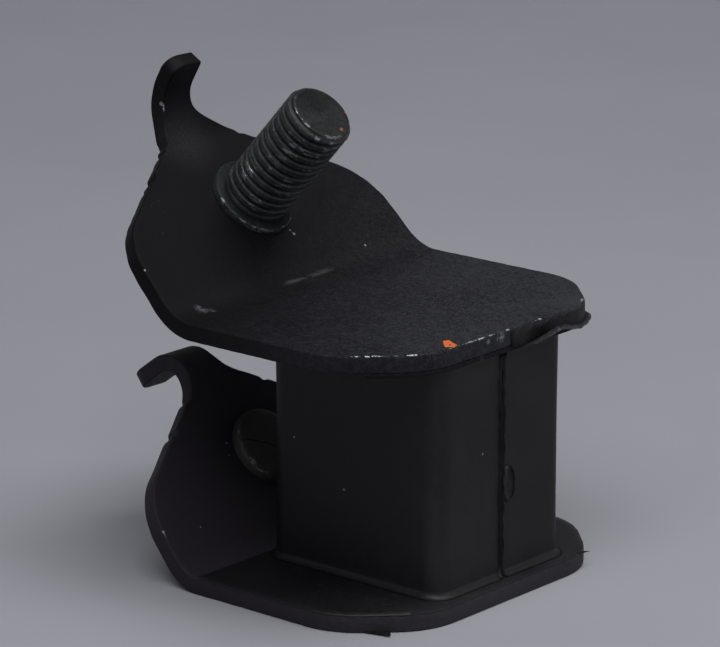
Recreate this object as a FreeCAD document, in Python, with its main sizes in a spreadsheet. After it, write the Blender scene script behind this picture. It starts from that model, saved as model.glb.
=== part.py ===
"""Engine mount: a rubber block bonded between two bent steel plates.

Each plate is a pressing with a flat seat, a flange bent upwards and a narrow tab curled at the
flange's end. A shouldered stud is riveted through each flange. Millimetres, +Z up. The origin lies
under the middle of the rubber block, on the underside of the lower plate; the flanges point to -X.
"""
import FreeCAD, Part
import Sketcher
import math
import os

# Driving sizes: lengths in millimetres, angles in degrees.
SIZES = {
    # both pressings
    "plate_thickness": 2.9,
    "plate_half_width": 31.8,
    "corner_radius": 13.4,
    "nose_half_width": 20.5,
    "nose_taper": 11.7,
    "tab_root_radius": 6.2,
    # upper plate
    "upper_bend_radius": 9.5,
    "upper_bend_gap": 4.15,
    "upper_nose_lead": 0.55,
    "upper_sideways": 1.2,
    "upper_flange_angle": 42.5,
    "upper_shoulder": 16.3,
    "upper_near_draft": 1.9,
    "upper_near_apex": 37.3,
    "upper_far_apex": 37.8,
    "upper_tab_width": 6.8,
    "upper_tab_offset": -2.9,
    "upper_hook_start": 31.0,
    "upper_hook_radius": 8.4,
    "upper_hook_turn": 77.5,
    "upper_hook_leg": 3.9,
    "upper_tip_radius": 2.5,
    "upper_stud_reach": 17.6,
    "upper_stud_sideways": 1.9,
    # lower plate
    "lower_bend_radius": 6.0,
    "lower_bend_gap": 1.3,
    "lower_nose_lead": 2.75,
    "lower_sideways": -0.8,
    "lower_flange_angle": 49.5,
    "lower_shoulder": 14.0,
    "lower_near_draft": 0.4,
    "lower_near_apex": 35.9,
    "lower_far_apex": 33.5,
    "lower_tab_width": 7.9,
    "lower_tab_offset": -3.5,
    "lower_hook_start": 33.3,
    "lower_hook_radius": 2.9,
    "lower_hook_turn": 86.0,
    "lower_hook_leg": 7.7,
    "lower_tip_radius": 4.5,
    "lower_stud_reach": 16.1,
    "lower_stud_sideways": 0.0,
    # rubber moulding
    "gap_height": 39.4,
    "block_length": 36.5,
    "block_width": 33.1,
    "block_corner_radius": 3.4,
    "foot_radius": 1.2,
    "lower_skin": 0.3,
    "upper_skin": 0.8,
    "upper_skin_depth": 7.6,
    "lip_start": 2.2,
    "lip_end": 7.0,
    "lip_reach": 1.5,
    "lip_thickness": 0.5,
    "seam_width": 1.1,
    "seam_height": 0.5,
    "seam_sideways": -0.4,
    "gate_width": 3.2,
    "gate_length": 6.2,
    "gate_height": 0.9,
    "gate_level": 16.0,
    "gate_sideways": 1.2,
    # studs
    "stud_radius": 6.0,
    "stud_tip_chamfer": 1.1,
    "spigot_radius": 5.0,
    "collar_radius": 7.5,
    "collar_height": 1.2,
    "collar_edge": 0.3,
    "rivet_radius": 6.9,
    "rivet_height": 2.0,
    "rivet_edge": 0.5,
    "upper_stud_length": 23.5,
    "lower_stud_length": 13.8,
}
SHEET = "Dimensions"
OUTSIDE = 12.0      # how far a cutting sketch reaches past the plate's edge


class Size:
    """A number together with the sheet expression that yields it."""

    def __init__(self, value, text):
        self.value = value
        self.text = text

    @staticmethod
    def of(other):
        return other if isinstance(other, Size) else Size(float(other), repr(float(other)))

    def __add__(self, other):
        other = Size.of(other)
        return Size(self.value + other.value, f"({self.text} + {other.text})")

    def __sub__(self, other):
        other = Size.of(other)
        return Size(self.value - other.value, f"({self.text} - {other.text})")

    def __mul__(self, other):
        other = Size.of(other)
        return Size(self.value * other.value, f"({self.text} * {other.text})")

    def __truediv__(self, other):
        other = Size.of(other)
        return Size(self.value / other.value, f"({self.text} / {other.text})")

    def __neg__(self):
        return Size(-self.value, f"(0 - {self.text})")

    def sin(self):
        return Size(math.sin(math.radians(self.value)), f"sin({self.text} * 1 deg)")

    def cos(self):
        return Size(math.cos(math.radians(self.value)), f"cos({self.text} * 1 deg)")


def size(name):
    """The named size of the sheet."""
    return Size(SIZES[name], f"{SHEET}.{name}")


def crease(prefix):
    """How far behind the block's middle the upper faces of seat and flange would meet."""
    half = size(f"{prefix}_flange_angle") * 0.5
    behind = size("block_length") * 0.5 + size(f"{prefix}_bend_gap")
    return behind + size(f"{prefix}_bend_radius") * half.sin() / half.cos()


def nose_front(prefix):
    """How far ahead of the block's middle a plate ends."""
    return size("block_length") * 0.5 + size(f"{prefix}_nose_lead")


document = FreeCAD.newDocument("EngineMount")


def make_sheet():
    sheet = document.addObject("Spreadsheet::Sheet", SHEET)
    for row, (alias, value) in enumerate(SIZES.items(), start=1):
        sheet.set(f"A{row}", alias)
        sheet.set(f"B{row}", str(value))
        sheet.setAlias(f"B{row}", alias)
    document.recompute()


def vector(x, y, z=0.0):
    return FreeCAD.Vector(x, y, z)


def new_body(label):
    body = document.addObject("PartDesign::Body", label)
    body.Label = label
    return body


def new_sketch(body, name, role, height=None, tilt=None):
    """A sketch on one of the body's own planes, raised along its normal or tilted about Y."""
    sketch = body.newObject("Sketcher::SketchObject", name)
    plane = next(feature for feature in body.Origin.OriginFeatures if feature.Role == role)
    sketch.AttachmentSupport = [(plane, "")]
    sketch.MapMode = "FlatFace"
    turn = FreeCAD.Rotation(vector(0, 1), tilt.value if tilt else 0.0)
    sketch.AttachmentOffset = FreeCAD.Placement(vector(0, 0, height.value if height else 0.0), turn)
    if height:
        sketch.setExpression(".AttachmentOffset.Base.z", height.text)
    if tilt:
        sketch.setExpression(".AttachmentOffset.Rotation.Angle", tilt.text)
    return sketch


def dimension(sketch, kind, *where):
    """Adds a dimensional constraint whose last entry is a Size, and binds it to the sheet."""
    *places, length = where
    is_angle = kind == "Angle"
    number = math.radians(length.value) if is_angle else length.value
    index = sketch.addConstraint(Sketcher.Constraint(kind, *places, number))
    text = f"({length.text}) * 1 deg" if is_angle else length.text
    sketch.setExpression(f"Constraints[{index}]", text)


def place_point(sketch, geometry, end, x, y):
    """Fixes a point at x, y from the sketch's origin."""
    for kind, length in (("DistanceX", x), ("DistanceY", y)):
        if length.value < 0:
            dimension(sketch, kind, geometry, end, -1, 1, -length)
        else:
            dimension(sketch, kind, -1, 1, geometry, end, length)


def draw_outline(sketch, corners):
    """A closed outline through corners (x, y, radius); radius None leaves the corner sharp."""
    points = [vector(x.value, y.value) for x, y, _ in corners]
    count = len(corners)
    joins = []
    for index, (_, _, radius) in enumerate(corners):
        here = points[index]
        back = (points[index - 1] - here).normalize()
        ahead = (points[(index + 1) % count] - here).normalize()
        if radius is None:
            joins.append((here, here, None))
            continue
        half = back.getAngle(ahead) / 2
        reach = radius.value / math.tan(half)
        centre = here + (back + ahead).normalize() * (radius.value / math.sin(half))
        joins.append((here + back * reach, here + ahead * reach, centre))
    lines = []
    for index in range(count):
        start, stop = joins[index][1], joins[(index + 1) % count][0]
        lines.append(sketch.addGeometry(Part.LineSegment(start, stop), False))
    for index, (x, y, radius) in enumerate(corners):
        before, after = lines[index - 1], lines[index]
        arrive, leave, centre = joins[index]
        if radius is None:
            sketch.addConstraint(Sketcher.Constraint("Coincident", before, 2, after, 1))
            place_point(sketch, after, 1, x, y)
            continue
        left_turn = (arrive - centre).cross(leave - centre).z > 0
        first, last = (arrive, leave) if left_turn else (leave, arrive)
        angles = [math.atan2((point - centre).y, (point - centre).x) for point in (first, last)]
        circle = Part.Circle(centre, vector(0, 0, 1), radius.value)
        arc = sketch.addGeometry(Part.ArcOfCircle(circle, *angles), False)
        sketch.addConstraint(Sketcher.Constraint("Tangent", before, 2, arc, 1 if left_turn else 2))
        sketch.addConstraint(Sketcher.Constraint("Tangent", after, 1, arc, 2 if left_turn else 1))
        dimension(sketch, "Radius", arc, radius)
        corner = sketch.addGeometry(Part.Point(points[index]), True)
        sketch.addConstraint(Sketcher.Constraint("PointOnObject", corner, 1, before))
        sketch.addConstraint(Sketcher.Constraint("PointOnObject", corner, 1, after))
        place_point(sketch, corner, 1, x, y)


def add_feature(body, kind, name, sketch, length, symmetric=False, reverse=False):
    """Pads or pockets a sketch by a length bound to the sheet."""
    feature = body.newObject(f"PartDesign::{kind}", name)
    feature.Profile = sketch
    feature.Length = length.value
    feature.setExpression("Length", length.text)
    if symmetric:
        feature.SideType = "Symmetric"
    feature.Reversed = reverse
    body.Tip = feature
    return feature


def cut(body, name, sketch):
    """Cuts a sketch right through the body and makes sure that material left it."""
    document.recompute()
    before = body.Shape.Volume
    pocket = body.newObject("PartDesign::Pocket", name)
    pocket.Profile = sketch
    pocket.SideType = "Symmetric"
    pocket.Type = "ThroughAll"
    body.Tip = pocket
    document.recompute()
    if body.Shape.Volume >= before:
        raise RuntimeError(f"{name} cuts nothing")


def round_edges(body, name, radius, wanted):
    """Fillets the body's straight edges for which wanted(middle, direction) holds."""
    document.recompute()
    base = body.Tip
    names = []
    for index, edge in enumerate(base.Shape.Edges, start=1):
        if isinstance(edge.Curve, Part.Line):
            middle = edge.valueAt((edge.FirstParameter + edge.LastParameter) / 2)
            if wanted(middle, edge.tangentAt(edge.FirstParameter)):
                names.append(f"Edge{index}")
    if not names:
        raise RuntimeError(f"{name} finds no edge")
    feature = body.newObject("PartDesign::Fillet", name)
    feature.Base = (base, names)
    feature.Radius = radius.value
    feature.setExpression("Radius", radius.text)
    body.Tip = feature
    document.recompute()
    return feature


def place(body, x=None, y=None, z=None, turn=None):
    """Places a body by sizes, turned about Y."""
    zero = Size.of(0)
    x, y, z, turn = (value or zero for value in (x, y, z, turn))
    rotation = FreeCAD.Rotation(vector(0, 1), turn.value)
    body.Placement = FreeCAD.Placement(vector(x.value, y.value, z.value), rotation)
    for axis, length in (("x", x), ("y", y), ("z", z)):
        body.setExpression(f".Placement.Base.{axis}", length.text)
    if turn is not zero:
        body.setExpression(".Placement.Rotation.Angle", turn.text)


def draw_side_profile(sketch, nose, angle, bend, hook_start, hook_radius, hook_turn, hook_leg,
                      forward):
    """Side view of a bent plate: seat, bend, flange, hook and the hook's straight leg.

    The faces of seat and flange that look upwards meet at the sketch's origin. The hook curls
    towards the upper side when forward is true, otherwise towards the underside.
    """
    thickness = size("plate_thickness")
    slope = math.radians(angle.value)
    along = vector(-math.cos(slope), math.sin(slope))
    out = vector(math.sin(slope), math.cos(slope))
    reach = bend.value * math.tan(slope / 2)
    bend_centre = vector(reach, bend.value)
    hook_base = along * hook_start.value
    side = 1.0 if forward else -1.0
    top_radius = hook_radius.value + (0.0 if forward else thickness.value)
    under_radius = hook_radius.value + (thickness.value if forward else 0.0)
    hook_centre = hook_base + out * (side * top_radius)
    swing = FreeCAD.Rotation(vector(0, 0, 1), -side * hook_turn.value)
    leg = swing.multVec(along)
    spoke = swing.multVec(out) * -side

    def arc(centre, radius, first, last):
        angles = [math.atan2(way.y, way.x) for way in (first, last)]
        return Part.ArcOfCircle(Part.Circle(centre, vector(0, 0, 1), radius), *angles)

    flat_out = vector(0, 1)
    hook_ways = (spoke, out * -side) if forward else (out * -side, spoke)
    tip_top = hook_centre + spoke * top_radius + leg * hook_leg.value
    tip_under = hook_centre + spoke * under_radius + leg * hook_leg.value
    under = out * -thickness.value
    pieces = [
        Part.LineSegment(vector(nose.value, 0), vector(reach, 0)),
        arc(bend_centre, bend.value, out * -1, flat_out * -1),
        Part.LineSegment(along * reach, hook_base),
        arc(hook_centre, top_radius, *hook_ways),
        Part.LineSegment(hook_centre + spoke * top_radius, tip_top),
        Part.LineSegment(tip_top, tip_under),
        Part.LineSegment(tip_under, hook_centre + spoke * under_radius),
        arc(hook_centre, under_radius, *hook_ways),
        Part.LineSegment(hook_base + under, along * reach + under),
        arc(bend_centre, bend.value + thickness.value, out * -1, flat_out * -1),
        Part.LineSegment(vector(reach, -thickness.value), vector(nose.value, -thickness.value)),
        Part.LineSegment(vector(nose.value, -thickness.value), vector(nose.value, 0)),
    ]
    seat, bend_top, flange, hook_top, leg_top, tip = range(6)
    leg_under, hook_under, flange_under, bend_under, seat_under, front = range(6, 12)
    sketch.addGeometry(pieces, False)
    near, far = (2, 1) if forward else (1, 2)
    relations = [
        ("Tangent", seat, 2, bend_top, 2), ("Tangent", bend_top, 1, flange, 1),
        ("Tangent", flange, 2, hook_top, near), ("Tangent", hook_top, far, leg_top, 1),
        ("Coincident", leg_top, 2, tip, 1), ("Coincident", tip, 2, leg_under, 1),
        ("Tangent", leg_under, 2, hook_under, far), ("Tangent", hook_under, near, flange_under, 1),
        ("Tangent", flange_under, 2, bend_under, 1), ("Tangent", bend_under, 2, seat_under, 1),
        ("Coincident", seat_under, 2, front, 1), ("Coincident", front, 2, seat, 1),
        ("Horizontal", seat), ("Horizontal", seat_under), ("Vertical", front),
        ("Coincident", bend_top, 3, bend_under, 3), ("Coincident", hook_top, 3, hook_under, 3),
        ("Parallel", flange, flange_under), ("Parallel", leg_top, leg_under),
        ("Perpendicular", leg_top, tip), ("PointOnObject", seat, 1, -1),
        ("PointOnObject", -1, 1, flange),
    ]
    for relation in relations:
        sketch.addConstraint(Sketcher.Constraint(*relation))
    dimension(sketch, "DistanceX", -1, 1, seat, 1, nose)
    dimension(sketch, "Distance", front, thickness)
    dimension(sketch, "Radius", bend_top, bend)
    dimension(sketch, "Angle", flange, Size.of(180) - angle)
    dimension(sketch, "Distance", -1, 1, flange, 2, hook_start)
    dimension(sketch, "Radius", hook_top if forward else hook_under, hook_radius)
    dimension(sketch, "Angle", hook_top, hook_turn)
    dimension(sketch, "Distance", leg_top, hook_leg)


def make_plate(prefix, hook_forward):
    """One pressing: bent strip, trimmed nose and flange, curled tab and stud hole."""
    def own(name):
        return size(f"{prefix}_{name}")

    label = f"{prefix}_plate"
    width, angle = size("plate_half_width"), own("flange_angle")
    nose = crease(prefix) + nose_front(prefix)
    body = new_body(label)

    profile = new_sketch(body, f"{label}_side_profile", "XZ_Plane")
    draw_side_profile(profile, nose, angle, own("bend_radius"), own("hook_start"),
                      own("hook_radius"), own("hook_turn"), own("hook_leg"), hook_forward)
    add_feature(body, "Pad", f"{label}_strip", profile, width * 2, symmetric=True)

    # nose: both front corners cut off on the slant
    trim = new_sketch(body, f"{label}_nose_outline", "XY_Plane")
    for side in (-1, 1):
        draw_outline(trim, [
            (nose - size("nose_taper"), width * side, None),
            (nose, size("nose_half_width") * side, None),
            (nose + OUTSIDE, size("nose_half_width") * side, None),
            (nose + OUTSIDE, (width + OUTSIDE) * side, None),
            (nose - size("nose_taper"), (width + OUTSIDE) * side, None),
        ])
    cut(body, f"{label}_nose_trim", trim)

    # flange: slanted sides that would meet at the apex, cut short by the tab
    tab_edges = [own("tab_offset") + own("tab_width") * (0.5 * side) for side in (-1, 1)]
    shoulders = new_sketch(body, f"{label}_flange_outline", "XY_Plane", tilt=angle)
    beyond = own("hook_start") + own("hook_leg") + own("hook_radius") + OUTSIDE
    flanks = [(own("near_apex"), width - own("near_draft")), (own("far_apex"), width)]
    for side, tab_edge, (apex, flank) in zip((-1, 1), tab_edges, flanks):
        root = apex - tab_edge * side * (apex - own("shoulder")) / flank
        outline = [
            (-own("shoulder"), flank * side, None),
            (-root, tab_edge, size("tab_root_radius")),
            (-beyond, tab_edge, None),
            (-beyond, (width + OUTSIDE) * side, None),
        ]
        if flank is width:
            outline.append((-own("shoulder"), (width + OUTSIDE) * side, None))
        else:
            outline += [(Size.of(0), (width + OUTSIDE) * side, None), (Size.of(0), width * side, None)]
        draw_outline(shoulders, outline)
    cut(body, f"{label}_flange_trim", shoulders)

    # stud hole, square to the flange
    hole = new_sketch(body, f"{label}_hole_outline", "XY_Plane", tilt=angle)
    middle = vector(-own("stud_reach").value, own("stud_sideways").value)
    circle = hole.addGeometry(Part.Circle(middle, vector(0, 0, 1), size("spigot_radius").value),
                              False)
    place_point(hole, circle, 3, -own("stud_reach"), own("stud_sideways"))
    dimension(hole, "Radius", circle, size("spigot_radius"))
    cut(body, f"{label}_hole", hole)

    # rounded corners of the outline
    slope = math.radians(angle.value)
    out = vector(math.sin(slope), 0, math.cos(slope))
    corner_x = [nose.value, nose.value - size("nose_taper").value]
    curl = own("hook_turn").value * (1 if hook_forward else -1)
    swung = FreeCAD.Rotation(vector(0, 1), curl).multVec(out)

    def on_nose(middle, direction):
        return abs(direction.z) > 0.99 and any(abs(middle.x - x) < 0.1 for x in corner_x)

    def on_shoulder(middle, direction):
        reach = -middle.x * math.cos(slope) + middle.z * math.sin(slope)
        square = abs(direction.dot(out)) > 0.99
        wide = abs(middle.y) > width.value - own("near_draft").value - 0.1
        return square and wide and abs(reach - own("shoulder").value) < 0.1

    def at_tip(middle, direction):
        across = abs(direction.y) < 0.01 and abs(direction.dot(swung)) > 0.99
        on_leg = abs(middle.dot(out)) > own("hook_leg").value
        return across and on_leg and abs(middle.y - tab_edges[0].value) < 0.05

    round_edges(body, f"{label}_nose_corners", size("corner_radius"), on_nose)
    round_edges(body, f"{label}_shoulder_corners", size("corner_radius"), on_shoulder)
    round_edges(body, f"{label}_tip_corner", own("tip_radius"), at_tip)

    top = size("plate_thickness")
    if prefix == "upper":
        top = top * 2 + size("gap_height")
    place(body, x=-crease(prefix), y=own("sideways"), z=top)
    return body


def make_stud(prefix, outward):
    """A shouldered stud, riveted over on the inner face of its flange.

    In the stud's own frame z = 0 is the flange's outer face, where the collar seats.
    """
    label = f"{prefix}_stud"
    body = new_body(label)
    grip = size("plate_thickness")
    rivet_end = -(grip + size("rivet_height"))
    length = size(f"{prefix}_stud_length")
    zero = Size.of(0)
    profile = new_sketch(body, f"{label}_half_section", "XZ_Plane")
    draw_outline(profile, [
        (zero, rivet_end, None),
        (size("rivet_radius") - size("rivet_edge"), rivet_end, None),
        (size("rivet_radius"), rivet_end + size("rivet_edge"), None),
        (size("rivet_radius"), -grip, None),
        (size("spigot_radius"), -grip, None),
        (size("spigot_radius"), zero, None),
        (size("collar_radius"), zero, None),
        (size("collar_radius"), size("collar_height") - size("collar_edge"), None),
        (size("collar_radius") - size("collar_edge"), size("collar_height"), None),
        (size("stud_radius"), size("collar_height"), None),
        (size("stud_radius"), length - size("stud_tip_chamfer"), None),
        (size("stud_radius") - size("stud_tip_chamfer"), length, None),
        (zero, length, None),
    ])
    turned = body.newObject("PartDesign::Revolution", f"{label}_turning")
    turned.Profile = profile
    turned.ReferenceAxis = (profile, ["V_Axis"])
    turned.Angle = 360.0
    body.Tip = turned

    angle, reach = size(f"{prefix}_flange_angle"), size(f"{prefix}_stud_reach")
    sideways = size(f"{prefix}_sideways") + size(f"{prefix}_stud_sideways")
    if outward > 0:
        lift, turn = Size.of(0), angle
        top = size("plate_thickness") * 2 + size("gap_height")
    else:
        lift, turn = size("plate_thickness"), angle + 180
        top = size("plate_thickness")
    place(body,
          x=-crease(prefix) - reach * angle.cos() - lift * angle.sin(),
          y=sideways,
          z=top + reach * angle.sin() - lift * angle.cos(),
          turn=turn)
    return body


def nose_outline(prefix, back, full):
    """Outline of a skin flush with a plate's nose: out to its full width, or only the slanted part."""
    nose, shift = nose_front(prefix), size(f"{prefix}_sideways")
    wide, narrow = size("plate_half_width"), size("nose_half_width")
    corner, taper = size("corner_radius"), size("nose_taper")
    front = [(nose, shift - narrow, corner), (nose, shift + narrow, corner)]
    if full:
        shoulder = nose - taper
        return [(back, shift - wide, None), (shoulder, shift - wide, corner), *front,
                (shoulder, shift + wide, corner), (back, shift + wide, None)]
    half = narrow + (nose - back) * (wide - narrow) / taper
    return [(back, shift - half, None), *front, (back, shift + half, None)]


def add_skin(body, prefix, outline, height=None, reverse=False):
    sketch = new_sketch(body, f"{prefix}_skin_outline", "XY_Plane", height=height)
    draw_outline(sketch, outline)
    add_feature(body, "Pad", f"{prefix}_skin_pad", sketch, size(f"{prefix}_skin"), reverse=reverse)


def make_rubber_block():
    """The moulding: block, thin skins over both seats, rounded foot, mould seam and gate mark."""
    body = new_body("rubber_block")
    gap, radius = size("gap_height"), size("block_corner_radius")
    half_length, half_width = size("block_length") * 0.5, size("block_width") * 0.5

    column = new_sketch(body, "block_outline", "XY_Plane")
    draw_outline(column, [(half_length * sx, half_width * sy, radius)
                          for sx, sy in ((-1, -1), (1, -1), (1, 1), (-1, 1))])
    add_feature(body, "Pad", "block_column", column, gap)

    lower_back = -half_length - size("lower_bend_gap")
    add_skin(body, "lower", nose_outline("lower", lower_back, full=True))
    upper_back = nose_front("upper") - size("upper_skin_depth")
    add_skin(body, "upper", nose_outline("upper", upper_back, full=False),
             height=gap, reverse=True)

    def at_level(level, middle, direction):
        inside = abs(middle.x) < half_length.value + 0.01 and abs(middle.y) < half_width.value + 0.01
        return inside and abs(middle.z - level) < 0.01 and abs(direction.z) < 0.01

    round_edges(body, "block_foot", size("foot_radius"),
                lambda middle, direction: at_level(size("lower_skin").value, middle, direction))
    neck = gap.value - size("upper_skin").value
    round_edges(body, "block_neck", size("upper_nose_lead") * 0.8,
                lambda middle, direction: at_level(neck, middle, direction))

    # flash left on the upper skin's far corner
    nose, far = nose_front("upper"), size("upper_sideways") + size("nose_half_width")
    flare = (size("plate_half_width") - size("nose_half_width")) / size("nose_taper")
    start, end, out = size("lip_start"), size("lip_end"), size("lip_reach") * 0.7
    crest = (start * 2 + end) / 3
    lip = new_sketch(body, "lip_outline", "XY_Plane", height=gap - size("upper_skin"))
    draw_outline(lip, [
        (nose - end, far - end, None), (nose - start, far + start * flare, None),
        (nose - crest + out, far + crest * flare + out, None),
        (nose - end, far + end * flare, None),
    ])
    add_feature(body, "Pad", "torn_lip", lip, size("lip_thickness"))

    # the mould parts down the middle of the block's front and back
    seam = new_sketch(body, "seam_outline", "XY_Plane")
    reach, half_seam = half_length + size("seam_height"), size("seam_width") * 0.5
    near, far = size("seam_sideways") - half_seam, size("seam_sideways") + half_seam
    draw_outline(seam, [(-reach, near, None), (reach, near, None),
                        (reach, far, None), (-reach, far, None)])
    add_feature(body, "Pad", "mould_seam", seam, gap)

    gate = new_sketch(body, "gate_outline", "YZ_Plane")
    half_gate, half_tall = size("gate_width") * 0.5, size("gate_length") * 0.5
    near, far = size("gate_sideways") - half_gate, size("gate_sideways") + half_gate
    low, high = size("gate_level") - half_tall, size("gate_level") + half_tall
    round_end = size("gate_width") * 0.49
    draw_outline(gate, [(near, low, round_end), (far, low, round_end),
                        (far, high, round_end), (near, high, round_end)])
    add_feature(body, "Pad", "gate_mark", gate, half_length + size("gate_height"))

    place(body, z=size("plate_thickness"))
    return body


def check_and_export(parts):
    """Stops on a failed object or a bad shape, then writes one STEP file per piece."""
    document.recompute()
    for item in document.Objects:
        if {"Invalid", "Error"} & set(item.State):
            raise RuntimeError(f"{item.Label} failed: {item.State}")
    for part in parts:
        if part.Shape.isNull() or not part.Shape.isValid() or len(part.Shape.Solids) != 1:
            raise RuntimeError(f"{part.Label} is not one valid solid")
    os.makedirs("parts", exist_ok=True)
    for part in parts:
        part.Shape.exportStep(f"parts/{part.Label}.step")
        box = part.Shape.BoundBox
        print(f"{part.Label}: {part.Shape.Volume:.0f} mm3, X {box.XMin:.2f}..{box.XMax:.2f}, "
              f"Y {box.YMin:.2f}..{box.YMax:.2f}, Z {box.ZMin:.2f}..{box.ZMax:.2f}")


make_sheet()
check_and_export([
    make_plate("lower", hook_forward=False),
    make_plate("upper", hook_forward=True),
    make_rubber_block(),
    make_stud("lower", outward=-1),
    make_stud("upper", outward=1),
])
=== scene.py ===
"""Looks for a rubber engine mount.

Two bent plates, the rubber bonded between them and a riveted stud on each, on a plain floor.
"""

import logging
import math
from dataclasses import dataclass, field
from enum import Enum
from functools import reduce
from typing import Any, ClassVar, Optional, Sequence, Tuple

import bmesh
import bpy
import numpy as np
from mathutils import Matrix, Vector


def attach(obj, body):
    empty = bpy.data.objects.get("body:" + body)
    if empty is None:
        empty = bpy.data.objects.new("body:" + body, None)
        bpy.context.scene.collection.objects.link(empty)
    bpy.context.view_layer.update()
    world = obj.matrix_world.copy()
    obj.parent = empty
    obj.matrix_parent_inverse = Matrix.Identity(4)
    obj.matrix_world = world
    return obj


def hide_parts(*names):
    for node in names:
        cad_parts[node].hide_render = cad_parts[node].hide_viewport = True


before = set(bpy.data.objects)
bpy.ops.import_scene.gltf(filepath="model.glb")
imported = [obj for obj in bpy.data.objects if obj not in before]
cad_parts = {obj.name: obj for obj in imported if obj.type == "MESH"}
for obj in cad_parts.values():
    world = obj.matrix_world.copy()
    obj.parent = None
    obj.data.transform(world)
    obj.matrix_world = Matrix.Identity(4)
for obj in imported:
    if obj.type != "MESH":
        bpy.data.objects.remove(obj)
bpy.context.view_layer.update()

log = logging.getLogger("engine_mount")
MM = 0.001
MM_PER_M = 1000.0
MERGE_WITHIN = 2e-6
# Places and sizes are in millimetres unless a name or comment says metres. A Grain is a noise's
# features per metre, octaves and roughness. A Spot is a place and a radius, a Patch has a
# strength as well, and a Stroke is a line's two ends and its width.
Point = Tuple[float, float, float]
Colour = Tuple[float, float, float]
Grain = Tuple[float, float, float]
Spot = Tuple[Point, float]
Patch = Tuple[Point, float, float]
Stroke = Tuple[Point, Point, float]


# ---------------------------------------------------------------- shader maths


class Sock:
    """One shader value, colour or vector, with Python's operators for the maths on it."""

    def __init__(self, graph: "Graph", socket: Any) -> None:
        """Wraps a node's output socket."""
        self.graph = graph
        self.socket = socket

    def _math(self, operation: str, *values: Any) -> "Sock":
        """Adds a Math node.

        Args:
            operation: the node's operation.
            values: its inputs, in order.

        Returns:
            The node's result.
        """
        return self.graph.node("ShaderNodeMath", {"operation": operation},
                               dict(enumerate(values)))

    def __add__(self, other: Any) -> "Sock":
        """Sum."""
        return self._math("ADD", self, other)

    def __radd__(self, other: Any) -> "Sock":
        """Reflected sum."""
        return self._math("ADD", other, self)

    def __sub__(self, other: Any) -> "Sock":
        """Difference."""
        return self._math("SUBTRACT", self, other)

    def __rsub__(self, other: Any) -> "Sock":
        """Reflected difference."""
        return self._math("SUBTRACT", other, self)

    def __mul__(self, other: Any) -> "Sock":
        """Product."""
        return self._math("MULTIPLY", self, other)

    def __rmul__(self, other: Any) -> "Sock":
        """Reflected product."""
        return self._math("MULTIPLY", other, self)

    def __truediv__(self, other: Any) -> "Sock":
        """Quotient."""
        return self._math("DIVIDE", self, other)

    def __pow__(self, other: Any) -> "Sock":
        """Power."""
        return self._math("POWER", self, other)

    def at_least(self, other: Any) -> "Sock":
        """The larger of two values."""
        return self._math("MAXIMUM", self, other)

    def at_most(self, other: Any) -> "Sock":
        """The smaller of two values."""
        return self._math("MINIMUM", self, other)

    def size(self) -> "Sock":
        """The value without its sign."""
        return self._math("ABSOLUTE", self)

    def ramp(self, low: float, high: float) -> "Sock":
        """Smooth step from 0 at low to 1 at high.

        Args:
            low: the value that gives 0.
            high: the value that gives 1; it may lie below low.

        Returns:
            The stepped value.
        """
        return self.graph.node(
            "ShaderNodeMapRange", {"interpolation_type": "SMOOTHSTEP"},
            {"Value": self, "From Min": low, "From Max": high, "To Min": 0.0, "To Max": 1.0})


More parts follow.
